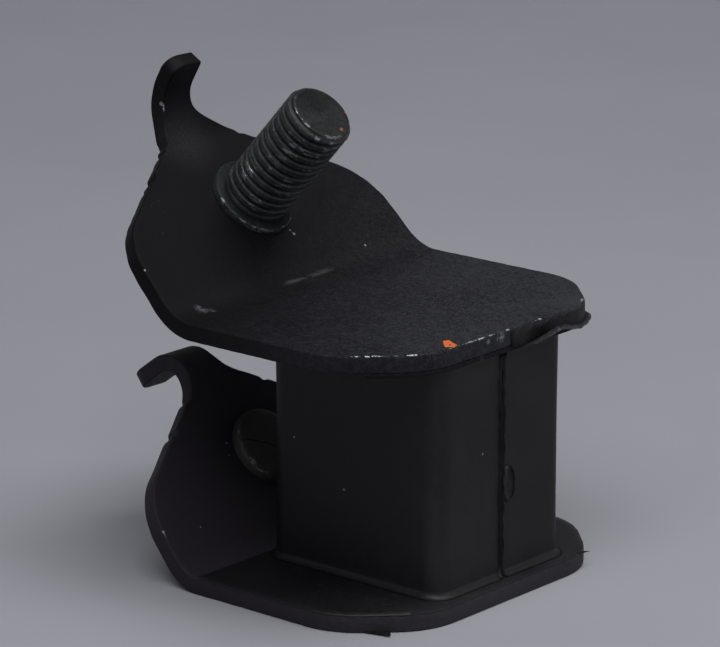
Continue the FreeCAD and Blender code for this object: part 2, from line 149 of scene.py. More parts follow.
class Graph:
    """A node tree, with one method that makes any node."""

    # Near-black colour of the dull shader that paints shade into crevices and under parts.
    PAINTED_SHADE_COLOUR = (0.0018, 0.0018, 0.002, 1.0)
    LINE_CORE = 0.55

    def __init__(self, owner: Any) -> None:
        """Empties a node tree.

        Args:
            owner: the material or world that it belongs to.
        """
        owner.use_nodes = True
        self.owner = owner
        self.tree = owner.node_tree
        self.tree.nodes.clear()

    @classmethod
    def of_material(cls, name: str) -> "Graph":
        """Starts a new material of that name."""
        return cls(bpy.data.materials.new(name))

    def node(self, kind: str, settings: Optional[dict] = None, inputs: Optional[dict] = None,
             output: Any = 0) -> Sock:
        """Adds a node.

        Args:
            kind: the node's type.
            settings: its properties, set before its sockets.
            inputs: values or Socks by the socket's name or number.
            output: the name or number of the output that is wanted.

        Returns:
            That output.
        """
        made = self.tree.nodes.new(kind)
        for key, value in (settings or {}).items():
            setattr(made, key, value)
        for key, value in (inputs or {}).items():
            if isinstance(value, Sock):
                self.tree.links.new(value.socket, made.inputs[key])
            else:
                made.inputs[key].default_value = value
        return Sock(self, made.outputs[output])

    def vector(self, operation: str, *values: Any, output: Any = 0) -> Sock:
        """Adds a Vector Math node.

        Args:
            operation: the node's operation.
            values: its inputs, in order.
            output: "Value" where the result is a number.

        Returns:
            The node's result.
        """
        return self.node("ShaderNodeVectorMath", {"operation": operation},
                         dict(enumerate(values)), output)

    def place(self) -> Sock:
        """Object coordinates, in metres."""
        return self.node("ShaderNodeTexCoord", output="Object")

    def axis(self, name: str) -> Sock:
        """One object coordinate, X, Y or Z, in millimetres."""
        parted = self.node("ShaderNodeSeparateXYZ", inputs={0: self.place()}, output=name)
        return parted * MM_PER_M

    def attribute(self, name: str) -> Sock:
        """A number stored on the mesh's points."""
        return self.node("ShaderNodeAttribute", {"attribute_name": name}, output="Fac")

    def stretched(self, stretch: Point, turn: Point = (0.0, 0.0, 0.0)) -> Sock:
        """Object coordinates, turned and then stretched along their axes.

        Args:
            stretch: factor for each axis.
            turn: angles about the axes, in radians.

        Returns:
            The coordinates, for a noise that is drawn out in one direction.
        """
        turned = self.node("ShaderNodeVectorRotate", {"rotation_type": "EULER_XYZ", "invert": True},
                           {"Vector": self.place(), "Rotation": turn})
        return self.vector("MULTIPLY", turned, stretch)

    def noise(self, scale: float, detail: float, rough: float,
              where: Optional[Sock] = None) -> Sock:
        """Noise with scale features per metre.

        Args:
            scale: features per metre.
            detail: octaves.
            rough: strength of the finer octaves.
            where: coordinates, the object's own by default.

        Returns:
            The noise, around 0.5.
        """
        return self.node("ShaderNodeTexNoise", {"normalize": True},
                         {"Vector": where or self.place(), "Scale": scale, "Detail": detail,
                          "Roughness": rough}, output="Fac")

    def near(self, spot: Point, radius: float) -> Sock:
        """Mask round a spot.

        Args:
            spot: its middle, in millimetres.
            radius: distance at which the mask reaches 0.

        Returns:
            1 at the spot, falling smoothly outwards.
        """
        centre = tuple(v * MM for v in spot)
        return self.vector("DISTANCE", self.place(), centre, output="Value").ramp(radius * MM, 0.0)

    def line(self, start: Point, end: Point, width: float) -> Sock:
        """Mask of a thin line between two points.

        The distance across the line is the root of the squared distance from its middle less
        the squared distance along it.

        Args:
            start: one end, in millimetres.
            end: the other end.
            width: distance from the line at which the mask reaches 0.

        Returns:
            1 on the line, fading smoothly across it and at its ends.
        """
        a, b = np.array(start), np.array(end)
        middle, half = (a + b) / 2, float(np.linalg.norm(b - a) / 2)
        from_middle = self.vector("SUBTRACT", self.place(), tuple(middle * MM))
        along = self.vector("DOT_PRODUCT", from_middle, tuple((b - a) / (2 * half)),
                            output="Value") * MM_PER_M
        far = self.vector("LENGTH", from_middle, output="Value") * MM_PER_M
        across = (far * far - along * along).at_least(0.0) ** 0.5
        return across.ramp(width, 0.0) * along.size().ramp(half, half * self.LINE_CORE)

    @staticmethod
    def most(masks: Sequence[Sock]) -> Sock:
        """The largest of several masks, point by point."""
        return reduce(Sock.at_least, masks)

    def blend(self, amount: Any, first: Any, second: Any) -> Sock:
        """Mixes two colours.

        Args:
            amount: 0 gives the first colour, 1 the second.
            first: a colour or Sock.
            second: a colour or Sock.

        Returns:
            The mixed colour.
        """
        def colour(value: Any) -> Any:
            """A colour with its alpha, or the Sock as it is."""
            return value if isinstance(value, Sock) else (*value, 1.0)
        return self.node("ShaderNodeMix", {"data_type": "RGBA", "clamp_factor": True},
                         {0: amount, 6: colour(first), 7: colour(second)}, output=2)

    def bump(self, height: Sock, distance: float, strength: float) -> Sock:
        """A Bump node over a height from 0 to 1 and a distance in millimetres."""
        return self.node("ShaderNodeBump", inputs={
            "Height": height, "Distance": distance * MM, "Strength": strength})

    def surface(self, painted_shade_share: Optional[Sock] = None, **sockets: Any) -> bpy.types.Material:
        """Ends the material in a Principled shader, mixed towards a dull near-black shader as
        painted shade in its crevices.

        Args:
            painted_shade_share: share of the dull shader, which paints shade, if there is any.
            sockets: values or Socks by socket name, spaces written as underscores.

        Returns:
            The finished material.
        """
        shader = self.node("ShaderNodeBsdfPrincipled", inputs={
            key.replace("_", " "): value for key, value in sockets.items()})
        if painted_shade_share is not None:
            dull = self.node("ShaderNodeBsdfDiffuse", inputs={"Color": self.PAINTED_SHADE_COLOUR})
            shader = self.node("ShaderNodeMixShader", inputs={0: painted_shade_share, 1: shader, 2: dull})
        self.end("ShaderNodeOutputMaterial", shader)
        return self.owner

    def end(self, kind: str, shader: Sock) -> None:
        """Links a shader to an output node of that kind."""
        last = self.tree.nodes.new(kind)
        self.tree.links.new(shader.socket, last.inputs["Surface"])


# ---------------------------------------------------------------- finishes


class Slot(Enum):
    """Material slots of the record."""

    PAINT = "black_paint"
    RUBBER = "rubber"
    STEEL = "phosphate"


@dataclass(frozen=True)
class Finish:
    """A named finish for one of the record's slots."""

    slot: ClassVar[Slot]
    name: str

    def make(self) -> bpy.types.Material:
        """Builds the finish's material; each kind of finish has its own."""
        raise NotImplementedError


@dataclass(frozen=True)
class BlackPaint(Finish):
    """Thin satin black paint on pressed steel, rubbed through on its edges and scuffed."""

    slot: ClassVar[Slot] = Slot.PAINT
    CLOUD: ClassVar[Grain] = (38.0, 4.0, 0.6)
    GRAIN: ClassVar[Grain] = (900.0, 3.0, 0.6)
    PEEL: ClassVar[Grain] = (2600.0, 2.0, 0.5)
    POWDER: ClassVar[Grain] = (3000.0, 2.0, 0.6)
    RUB: ClassVar[Grain] = (650.0, 4.0, 0.72)
    SCUFF: ClassVar[Grain] = (800.0, 3.0, 0.7)
    DRAG: ClassVar[Grain] = (700.0, 3.0, 0.7)
    SCATTER: ClassVar[Grain] = (1500.0, 1.0, 0.55)
    CHIP: ClassVar[Grain] = (1100.0, 3.0, 0.7)
    seat: float = 2.9
    scuffs: Tuple[Patch, ...] = ()
    streaks: Tuple[Stroke, ...] = ()
    flecks: Tuple[Stroke, ...] = ()
    specks: Tuple[Spot, ...] = ()
    lighter_patches: Tuple[Patch, ...] = ()
    base: Colour = (0.0030, 0.0028, 0.0044)
    # Colour of the dust, also used for the painted sheen.
    dust_and_sheen_colour: Colour = (0.0345, 0.0352, 0.0405)
    steel: Colour = (0.52, 0.53, 0.56)
    orange: Colour = (0.72, 0.16, 0.045)
    roughness: float = 0.56
    specular: float = 0.12
    relief: float = 0.07

    def _dust_and_sheen(self, g: Graph, cloud: Sock, grain: Sock) -> Sock:
        """Dust with a painted sheen: clouds, grain and powder, scaled up towards the nose and the
        far side by the painted sheen, and lighter patches.

        Args:
            g: the material's graph.
            cloud: broad noise.
            grain: fine noise.

        Returns:
            The share of dusting and painted sheen.
        """
        # Painted sheen: the dust grows towards the nose and the far side, where the paint's sheen
        # looks lighter.
        painted_sheen = (g.axis("X") + g.axis("Y") * 0.5).ramp(-44.0, 24.0)
        over = g.axis("Z").ramp(self.seat - 0.5, self.seat - 0.1) * 0.65 + 0.35
        powder = g.noise(*self.POWDER).ramp(0.38, 0.68) * over + (1.0 - over) * 0.42
        dust_and_sheen = cloud.ramp(0.30, 0.70) * 0.42 + grain.ramp(0.40, 0.72) * 0.42 + powder * 0.80
        dust_and_sheen = dust_and_sheen * (painted_sheen * 1.04 + 0.02)
        # Lighter patches: the one at the hook's base is painted light on its lit base; the two at
        # the nose's far corner lighten it.
        for spot, radius, strength in self.lighter_patches:
            dust_and_sheen = dust_and_sheen + g.near(spot, radius) * (powder * 0.5 + 0.5) * strength
        return dust_and_sheen

    def _bare_and_glint(self, g: Graph, cloud: Sock, wear_and_highlight: Sock) -> Sock:
        """Bare steel and painted glints: rubbed edges, scuffs, drag marks, single specks and a
        faint scatter, with a painted glint on the hook's edge and a painted highlight along the
        upper crease.

        Args:
            g: the material's graph.
            cloud: broad noise.
            wear_and_highlight: rubbed share of the edges, with the painted glints.

        Returns:
            The share of steel that shows, painted glints included.
        """
        rub = g.noise(*self.RUB)
        chipped = rub.ramp(0.3, 0.5)
        masks = [(wear_and_highlight * (rub.ramp(0.40, 0.60) * 1.25 + 0.08)).ramp(0.22, 0.62)]
        masks += [g.near(spot, radius).ramp(0.15, 0.9) * g.noise(*self.SCUFF).ramp(0.42, 0.62)
                  * strength for spot, radius, strength in self.scuffs]
        for streak in self.streaks:
            drag = g.noise(*self.DRAG, g.stretched((1.0, 0.35, 1.0)))
            masks.append(g.line(*streak) * drag.ramp(0.30, 0.64) * 0.20)
        masks += [g.near(spot, radius * 0.8).ramp(0.0, 0.7) * chipped * 0.5
                  for spot, radius in self.specks]
        masks.append(g.noise(*self.SCATTER).ramp(0.71, 0.77) * cloud.ramp(0.5, 0.7) * 0.10)
        return g.most(masks)

    def make(self) -> bpy.types.Material:
        """Builds the material: a cloudy dusting with a painted sheen, fine orange peel, steel worn
        through with painted glints, and orange flecks.

        Returns:
            The material.
        """
        g = Graph.of_material(self.name)
        cloud, grain, wear_and_highlight = g.noise(*self.CLOUD), g.noise(*self.GRAIN), g.attribute("wear_and_highlight")
        bare_and_glint = self._bare_and_glint(g, cloud, wear_and_highlight)
        colour = g.blend(self._dust_and_sheen(g, cloud, grain), self.base, self.dust_and_sheen_colour)
        colour = g.blend(bare_and_glint, colour, self.steel)
        if self.flecks:
            ragged = g.noise(*self.CHIP).ramp(0.36, 0.52) * 0.8 + 0.2
            chips = [(g.line(*stroke) * ragged).ramp(0.12, 0.3) for stroke in self.flecks]
            colour = g.blend(g.most(chips), colour, self.orange)
        rough = self.roughness + (cloud - 0.5) * 0.18 + (grain - 0.5) * 0.16
        rough = (rough + wear_and_highlight * 1.6).at_most(0.85) - bare_and_glint * 0.35
        normal = g.bump(grain * 0.55 + g.noise(*self.PEEL) * 0.45, self.relief, 0.7)
        return g.surface(Base_Color=colour, Roughness=rough, Metallic=bare_and_glint * 0.8, Normal=normal,
                         Specular_IOR_Level=self.specular)


@dataclass(frozen=True)
class MouldedRubber(Finish):
    """Black moulded rubber with a faint bloom, fine pores, rubbed arrises with painted highlights,
    painted light on its +X side and painted shade in its crevices.
    """

    slot: ClassVar[Slot] = Slot.RUBBER
    CLOUD: ClassVar[Grain] = (55.0, 4.0, 0.62)
    GRAIN: ClassVar[Grain] = (1300.0, 3.0, 0.65)
    PORES: ClassVar[Grain] = (2200.0, 1.0, 0.55)
    RUNS: ClassVar[Grain] = (160.0, 3.0, 0.6)
    CRUMBS: ClassVar[Grain] = (900.0, 4.0, 0.7)
    COARSE: ClassVar[Grain] = (300.0, 3.0, 0.6)
    base: Colour = (0.0030, 0.0025, 0.0042)
    # Colour of the bloom, also used for the painted light and highlights.
    bloom_and_sheen: Colour = (0.0165, 0.0168, 0.0195)
    pore: Colour = (0.09, 0.09, 0.10)
    crumb: Colour = (0.055, 0.055, 0.062)
    # Colour of the torn face, also used for the painted highlight on the flap's rim.
    tear_and_highlight: Colour = (0.13, 0.13, 0.145)
    dirt: Colour = (0.16, 0.165, 0.18)
    torn: bool = False
    specks: Tuple[Point, ...] = ()
    speck_radius: float = 0.34
    roughness: float = 0.54
    specular: float = 0.32

    def make(self) -> bpy.types.Material:
        """Builds the material: soft bloom with painted light, pores, and for torn rubber a crumbly
        lighter face with painted highlights.

        Returns:
            The material.
        """
        g = Graph.of_material(self.name)
        cloud, grain, wear_and_highlight = g.noise(*self.CLOUD), g.noise(*self.GRAIN), g.attribute("wear_and_highlight")
        runs = g.noise(*self.RUNS, g.stretched((1.0, 1.0, 0.22)))
        amount = cloud.ramp(0.35, 0.72) * 0.45 + grain.ramp(0.4, 0.75) * 0.3
        amount = amount + runs.ramp(0.5, 0.75) * 0.18
        # Painted light: the bloom grows towards the +X side, and the first point channel adds
        # painted highlights.
        amount = amount * (g.axis("X").ramp(2.0, 19.0) * 0.82 + 0.25) + wear_and_highlight * 0.6
        colour = g.blend(amount, self.base, self.bloom_and_sheen)
        colour = g.blend(g.noise(*self.PORES).ramp(0.74, 0.80) * 0.12, colour, self.pore)
        if self.torn:
            crumbs = g.noise(*self.CRUMBS).ramp(0.46, 0.68) * g.axis("Y").ramp(2.0, 14.0)
            colour = g.blend(crumbs * 0.45, colour, self.crumb)
            colour = g.blend((crumbs * 0.8 + 0.2) * wear_and_highlight, colour, self.tear_and_highlight)
        for spot in self.specks:
            colour = g.blend(g.near(spot, self.speck_radius).ramp(0.0, 0.7), colour, self.dirt)
        rough = self.roughness + (cloud - 0.5) * 0.20 + (grain - 0.5) * 0.20 - wear_and_highlight * 0.12
        relief, strength = (0.14, 0.7) if self.torn else (0.06, 0.5)
        normal = g.bump(grain * 0.5 + g.noise(*self.COARSE) * 0.5, relief, strength)
        # The second point channel mixes in the dull near-black shader as painted shade.
        return g.surface(g.attribute("painted_shade") * 0.85, Base_Color=colour, Roughness=rough,
                         Normal=normal, Specular_IOR_Level=self.specular)


@dataclass(frozen=True)
class PhosphatedSteel(Finish):
    """Grey-black phosphated steel, bright where its crests and rims have rubbed and where painted
    glints fall, with painted shade in its crevices.
    """

    slot: ClassVar[Slot] = Slot.STEEL
    GRAIN: ClassVar[Grain] = (1700.0, 3.0, 0.7)
    PATCH: ClassVar[Grain] = (260.0, 3.0, 0.6)
    SMEAR: ClassVar[Grain] = (240.0, 3.0, 0.7)
    RUB: ClassVar[Grain] = (1500.0, 3.0, 0.75)
    CHIP: ClassVar[Grain] = (2400.0, 3.0, 0.7)
    lean: float = 0.0
    flecks: Tuple[Spot, ...] = ()
    cracks: Tuple[Stroke, ...] = ()
    dark: Colour = (0.0175, 0.0190, 0.0198)
    light: Colour = (0.0580, 0.0625, 0.0635)
    bright: Colour = (0.30, 0.325, 0.335)
    crack: Colour = (0.0012, 0.0012, 0.0015)
    orange: Colour = (0.75, 0.18, 0.05)
    roughness: float = 0.52
    specular: float = 0.30
    relief: float = 0.05

    def make(self) -> bpy.types.Material:
        """Builds the material: crystalline grey coat, oily darks, rubbed bright rims with painted
        glints, and painted shade.

        Returns:
            The material.
        """
        g = Graph.of_material(self.name)
        grain, patch = g.noise(*self.GRAIN), g.noise(*self.PATCH)
        colour = g.blend(grain.ramp(0.35, 0.7) * 0.6 + patch.ramp(0.45, 0.7) * 0.3,
                         self.dark, self.light)
        smear = g.noise(*self.SMEAR).ramp(0.46, 0.64)
        drag = g.stretched((0.35, 0.35, 1.6), (0.0, math.radians(self.lean), 0.0))
        rub = g.noise(*self.RUB, drag).ramp(0.44, 0.64)
        # Bright steel where the first point channel holds rubbing and painted glints.
        bare_and_glint = (g.attribute("wear_and_highlight") * (rub * (smear * 0.95 + 0.25))).ramp(0.14, 0.80)
        colour = g.blend(bare_and_glint, colour, self.bright)
        for stroke in self.cracks:
            colour = g.blend(g.line(*stroke).ramp(0.1, 0.5), colour, self.crack)
        for spot, radius in self.flecks:
            ragged = g.noise(*self.CHIP).ramp(0.40, 0.56)
            colour = g.blend(g.near(spot, radius).ramp(0.10, 0.6) * ragged, colour, self.orange)
        rough = self.roughness + (grain - 0.5) * 0.25 - bare_and_glint * 0.14
        normal = g.bump(grain * 0.6 + patch * 0.4, self.relief, 0.6)
        # The second point channel mixes in the dull near-black shader as painted shade.
        return g.surface(g.attribute("painted_shade") * 0.8, Base_Color=colour, Roughness=rough,
                         Metallic=bare_and_glint * 0.7, Normal=normal, Specular_IOR_Level=self.specular)


# ---------------------------------------------------------------- mesh helpers


def unit(values: Any) -> Any:
    """Values held between 0 and 1."""
    return np.clip(values, 0, 1)


def bell(values: np.ndarray, middle: float, width: float) -> np.ndarray:
    """Bell curve over values: 1 at its middle, falling to 1/e a width away."""
    return np.exp(-((values - middle) / width) ** 2)


def distances(line: np.ndarray) -> np.ndarray:
    """Distance along a line of points at each of them."""
    return np.concatenate([[0], np.cumsum(np.linalg.norm(np.diff(line, axis=0), axis=1))])


def inward_normals(ring: np.ndarray, inside: np.ndarray) -> np.ndarray:
    """Directions into a closed flat ring.

    At each point the chord between its neighbours is turned by a right angle. All of them are
    turned round where that points away from the inside.

    Args:
        ring: the ring's points in order.
        inside: one point within the ring, or one for each point of it.

    Returns:
        One unit vector for each point.
    """
    chord = np.roll(ring, -1, axis=0) - np.roll(ring, 1, axis=0)
    chord /= np.maximum(np.linalg.norm(chord, axis=1, keepdims=True), 1e-9)
    normal = np.stack([chord[:, 1], -chord[:, 0]], axis=-1)
    return -normal if ((inside - ring) * normal).sum() < 0 else normal


def grid_faces(rows: int, columns: int, close_columns: bool = False) -> np.ndarray:
    """Quads of a grid of points numbered row by row.

    Args:
        rows: points down the grid.
        columns: points across it.
        close_columns: whether the last column joins the first.

    Returns:
        One row of four point numbers per quad.
    """
    across = columns if close_columns else columns - 1
    r, c = np.meshgrid(np.arange(rows - 1), np.arange(across), indexing="ij")
    n = (c + 1) % columns
    return np.stack([r * columns + c, r * columns + n, (r + 1) * columns + n,
                     (r + 1) * columns + c], axis=-1).reshape(-1, 4)


def fan_faces(ring: np.ndarray, centre: int, flip: bool = False) -> np.ndarray:
    """Triangles from a closed ring to a centre point.

    Args:
        ring: the ring's point numbers in order.
        centre: the centre's point number.
        flip: whether the triangles face the other way.

    Returns:
        One row of three point numbers per triangle.
    """
    after = np.roll(ring, -1)
    first, second = (after, ring) if flip else (ring, after)
    return np.stack([first, second, np.full_like(ring, centre)], axis=-1)


def bumpiness(x: np.ndarray, y: np.ndarray, seed: int) -> np.ndarray:
    """Smooth unevenness: a sum of eight sine waves of seeded directions, lengths and phases.

    Args:
        x: first coordinate, in millimetres.
        y: second coordinate, in millimetres.
        seed: picks the waves.

    Returns:
        Values of about -1 to 1.
    """
    rng = np.random.default_rng(seed)
    waves, slowest, fastest = 8, 0.35, 2.6
    angle = rng.uniform(0, 2 * np.pi, waves)
    wave = rng.uniform(slowest, fastest, waves)
    phase = rng.uniform(0, 2 * np.pi, waves)
    turned = (np.multiply.outer(x, np.cos(angle)) + np.multiply.outer(y, np.sin(angle))) * wave
    return np.sin(turned + phase).mean(axis=-1) * 2.0


def add_object(name: str, data: Any) -> bpy.types.Object:
    """Puts a mesh, lamp or camera into the scene.

    Args:
        name: the new object's name.
        data: what it shows or holds.

    Returns:
        The object.
    """
    made = bpy.data.objects.new(name, data)
    bpy.context.scene.collection.objects.link(made)
    return made


def looking_along(place: Point, way: Vector) -> Matrix:
    """World matrix of an object at a place, in metres, that looks along a direction."""
    return Matrix.Translation(Vector(place)) @ way.to_track_quat("-Z", "Y").to_matrix().to_4x4()


def build_piece(name: str, points: np.ndarray, faces: Sequence[np.ndarray], finish: Finish,
                stands_for: Sequence[str], wear_and_highlight: np.ndarray, painted_shade: Optional[np.ndarray] = None,
                sharp: float = 50.0) -> bpy.types.Object:
    """Makes a closed mesh piece that rides on the mount.

    Args:
        name: the piece's name.
        points: its points, in millimetres.
        faces: arrays of quads or triangles.
        finish: its finish, which knows the record's slot.
        stands_for: CAD nodes that it replaces.
        wear_and_highlight: rubbed share and painted highlight at each point, 0 to 1.
        painted_shade: share of painted shade at each point, 0 to 1.
        sharp: crease angle in degrees above which an edge stays crisp.

    Returns:
        The new object.
    """
    material = finish.make()
    lists = [row for block in faces for row in block.tolist()]
    mesh = bpy.data.meshes.new(name)
    mesh.from_pydata((points * MM).tolist(), [], lists)
    # The first point channel holds real rubbing and painted highlights; the second holds painted
    # shade.
    for title, given in (("wear_and_highlight", wear_and_highlight), ("painted_shade", painted_shade)):
        amount = np.zeros(len(points)) if given is None else given
        layer = mesh.attributes.new(title, "FLOAT", "POINT")
        layer.data.foreach_set("value", np.asarray(amount, np.float32).ravel())
    work = bmesh.new()
    work.from_mesh(mesh)
    bmesh.ops.remove_doubles(work, verts=work.verts, dist=MERGE_WITHIN)
    bmesh.ops.recalc_face_normals(work, faces=work.faces)
    work.to_mesh(mesh)
    work.free()
    mesh.shade_smooth()
    mesh.set_sharp_from_angle(angle=math.radians(sharp))
    mesh.materials.append(material)
    piece = add_object(name, mesh)
    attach(piece, "root")
    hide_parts(*stands_for)
    log.info("%s: %d points, %d faces", name, len(points), len(lists))
    return piece


def build_swept(name: str, sections: np.ndarray, finish: Finish, stands_for: Sequence[str],
                wear_and_highlight: Optional[np.ndarray] = None, painted_shade: Optional[np.ndarray] = None,
                ends: Optional[np.ndarray] = None, end_shade: float = 0.0,
                **options: float) -> bpy.types.Object:
    """Makes a closed piece from a row of closed sections, with a fan over each end.

    Args:
        name: the piece's name.
        sections: points of each section in turn, stations by points by 3, in millimetres.
        finish: its finish.
        stands_for: CAD nodes that it replaces.
        wear_and_highlight: rubbed share and painted highlight, stations by points.
        painted_shade: share of painted shade, stations by points.
        ends: the two fans' centres, the middles of the end sections by default.
        end_shade: share of painted shade at both centres.
        options: passed on to build_piece.

    Returns:
        The new object.
    """
    rows, count = sections.shape[:2]
    if ends is None:
        ends = sections[[0, -1]].mean(axis=1)
    ring, total = np.arange(count), rows * count
    faces = [grid_faces(rows, count, close_columns=True), fan_faces(ring, total, flip=True),
             fan_faces(ring + total - count, total + 1)]
    rubbed, darkened = (
        np.concatenate([np.zeros(total) if given is None else given.ravel(), [end, end]])
        for given, end in ((wear_and_highlight, 0.0), (painted_shade, end_shade)))
    return build_piece(name, np.concatenate([sections.reshape(-1, 3), ends]), faces, finish,
                       stands_for, rubbed, darkened, **options)


# ---------------------------------------------------------------- plates


@dataclass
class BentPlate:
    """One pressing, laid out along its upper face from the nose to the tab's tip."""

    RIM_WEAR: ClassVar[Tuple[float, ...]] = (0.06, 0.55, 1.0, 0.42, 0.12, 0.04)
    NEARLY_STRAIGHT: ClassVar[float] = 1.56
    node: str
    crease: float
    nose: float
    sideways: float
    top: float
    angle: float
    bend_radius: float
    shoulder: float
    near_draft: float
    near_apex: float
    far_apex: float
    tab_width: float
    tab_offset: float
    hook_start: float
    hook_radius: float
    hook_turn: float
    hook_leg: float
    tip_radius: float
    hook_forward: bool
    seed: int
    thickness: float = 2.9
    half_width: float = 31.8
    corner_radius: float = 13.4
    nose_half_width: float = 20.5
    nose_taper: float = 11.7
    tab_root_radius: float = 6.2
    roll: float = 0.42
    burr: float = 0.28
    seat_blend: float = 40.0
    far_tip_radius: float = 0.5
    waviness: float = 0.07
    dish: float = 0.05
    notches: Tuple[Tuple[float, float, float, float], ...] = ()
    rubbed: Tuple[Patch, ...] = ()
    slope: float = field(init=False)
    curl: float = field(init=False)
    reach: float = field(init=False)
    front: float = field(init=False)
    seat_run: float = field(init=False)
    bend_run: float = field(init=False)
    hook_face: float = field(init=False)

    def __post_init__(self) -> None:
        """Works out the runs of seat and bend along the upper face, and its radius at the hook."""
        self.slope = math.radians(self.angle)
        self.curl = math.radians(self.hook_turn)
        self.reach = self.bend_radius * math.tan(self.slope / 2)
        self.front = self.crease + self.nose
        self.seat_run = self.front - self.reach
        self.bend_run = self.bend_radius * self.slope
        self.hook_face = self.hook_radius + (0.0 if self.hook_forward else self.thickness)

    def lay(self, s: np.ndarray, y: np.ndarray, h: np.ndarray) -> np.ndarray:
        """Carries points of the flat blank onto the bent plate.

        The upper face's side view is a line, an arc, a line, an arc and a line. A point at
        distance s along it and height h above it moves out along the face's normal.

        Args:
            s: distance along the upper face from the nose's front.
            y: distance across, from the plate's middle.
            h: height above the upper face.

        Returns:
            Points in the mount's own frame, in millimetres.
        """
        side = 1.0 if self.hook_forward else -1.0
        cos, sin = math.cos(self.slope), math.sin(self.slope)
        flange, hook = self.hook_start - self.reach, self.hook_face * self.curl
        past_seat = s - self.seat_run
        past_bend = past_seat - self.bend_run
        past_flange = past_bend - flange
        bent = np.clip(past_seat, 0, self.bend_run) / self.bend_radius
        climbed = np.clip(past_bend, 0, flange)
        curled = np.clip(past_flange, 0, hook) / self.hook_face
        leg = np.maximum(past_flange - hook, 0)
        lean, rise = np.sin(curled) * self.hook_face, (1 - np.cos(curled)) * self.hook_face * side
        way = math.atan2(sin, -cos) - side * self.curl
        x = (self.front - np.minimum(s, self.seat_run) - self.bend_radius * np.sin(bent)
             - climbed * cos - cos * lean + sin * rise + np.cos(way) * leg)
        z = (self.bend_radius * (1 - np.cos(bent)) + climbed * sin + sin * lean + cos * rise
             + np.sin(way) * leg)
        turned = bent + curled * side
        return np.stack([x + np.sin(turned) * h - self.crease, y + self.sideways,
                         z + np.cos(turned) * h + self.top], axis=-1)

    def length(self) -> float:
        """Length of the upper face from the nose's front to the tab's tip."""
        return self.flange_place(self.hook_start) + self.hook_face * self.curl + self.hook_leg

    def flange_place(self, a: float) -> float:
        """Distance along the upper face of a point at distance a up the flange."""
        return self.seat_run + self.bend_run + a - self.reach

    def on_flange(self, a: float, across: float, depth: float = 0.0) -> Point:
        """A place on the flange.

        Args:
            a: distance up the flange from the crease.
            across: its Y.
            depth: how far below the upper face it lies.

        Returns:
            The place in the mount's own frame, in millimetres.
        """
        cos, sin = math.cos(self.slope), math.sin(self.slope)
        return (-self.crease - a * cos - depth * sin, across, self.top + a * sin - depth * cos)

    def _corners(self, side: float) -> Tuple[Tuple[float, float, float], ...]:
        """Corners of one side of the blank, from nose to tip.

        Args:
            side: -1 for the near side, 1 for the far side.

        Returns:
            Distance along the plate, half width and radius of each corner.
        """
        near, tip = side < 0, self.length()
        apex = self.near_apex if near else self.far_apex
        flank = self.half_width - (self.near_draft if near else 0.0)
        edge = (self.tab_offset + side * self.tab_width / 2) * side
        root = apex - edge * (apex - self.shoulder) / flank
        return ((0.0, 0.0, 0.0), (0.0, self.nose_half_width, self.corner_radius),
                (self.nose_taper, self.half_width, self.corner_radius),
                (self.front - self.reach * 0.5, self.half_width, self.seat_blend),
                (self.flange_place(self.shoulder), flank, self.corner_radius),
                (self.flange_place(root), edge, self.tab_root_radius),
                (tip, edge, self.tip_radius if near else self.far_tip_radius),
                (tip, self.tab_offset * side, 0.0))

    def side_line(self, side: float, step: float = 0.5) -> Tuple[np.ndarray, np.ndarray]:
        """One side of the blank's outline as a fine polyline with rounded corners.

        Each corner is replaced by an arc tangent to both of its lines; the lines between the
        arcs are divided evenly. An arc takes just under half of each line, and of the last
        line nearly all.

        Args:
            side: -1 for the near side, 1 for the far side.
            step: largest spacing of the points.

        Returns:
            Distances along the plate and signed distances across it.
        """
        half_line, whole_line = 0.49, 0.98
        corners = self._corners(side)
        points = np.array([(s, w) for s, w, _ in corners])
        line = [points[0]]
        for index in range(1, len(corners) - 1):
            here, radius = points[index], corners[index][2]
            back, ahead = points[index - 1] - here, points[index + 1] - here
            before, beyond = np.linalg.norm(back), np.linalg.norm(ahead)
            u, v = back / before, ahead / beyond
            half = math.acos(np.clip(u @ v, -1, 1)) / 2
            if half > self.NEARLY_STRAIGHT:
                line.append(here)
                continue
            share = whole_line if index == len(corners) - 2 else half_line
            reach = min(radius / math.tan(half), half_line * before, share * beyond)
            radius = reach * math.tan(half)
            centre = here + (u + v) / np.linalg.norm(u + v) * radius / math.sin(half)
            start, stop = here + u * reach - centre, here + v * reach - centre
            sweep = math.pi - 2 * half
            turn = math.copysign(1.0, start[0] * stop[1] - start[1] * stop[0])
            angles = np.linspace(0, sweep * turn, max(4, int(sweep * radius / step) + 2))
            cos, sin = np.cos(angles), np.sin(angles)
            line.extend(np.stack([start[0] * cos - start[1] * sin,
                                  start[0] * sin + start[1] * cos], axis=-1) + centre)
        line = np.array([*line, points[-1]])
        gaps = np.linalg.norm(np.diff(line, axis=0), axis=1)
        line = line[np.concatenate([[True], gaps > 1e-6])]
        run = distances(line)
        even = np.unique(np.concatenate([run, np.arange(0, run[-1], step)]).round(5))
        return np.interp(even, run, line[:, 0]), np.interp(even, run, line[:, 1]) * side

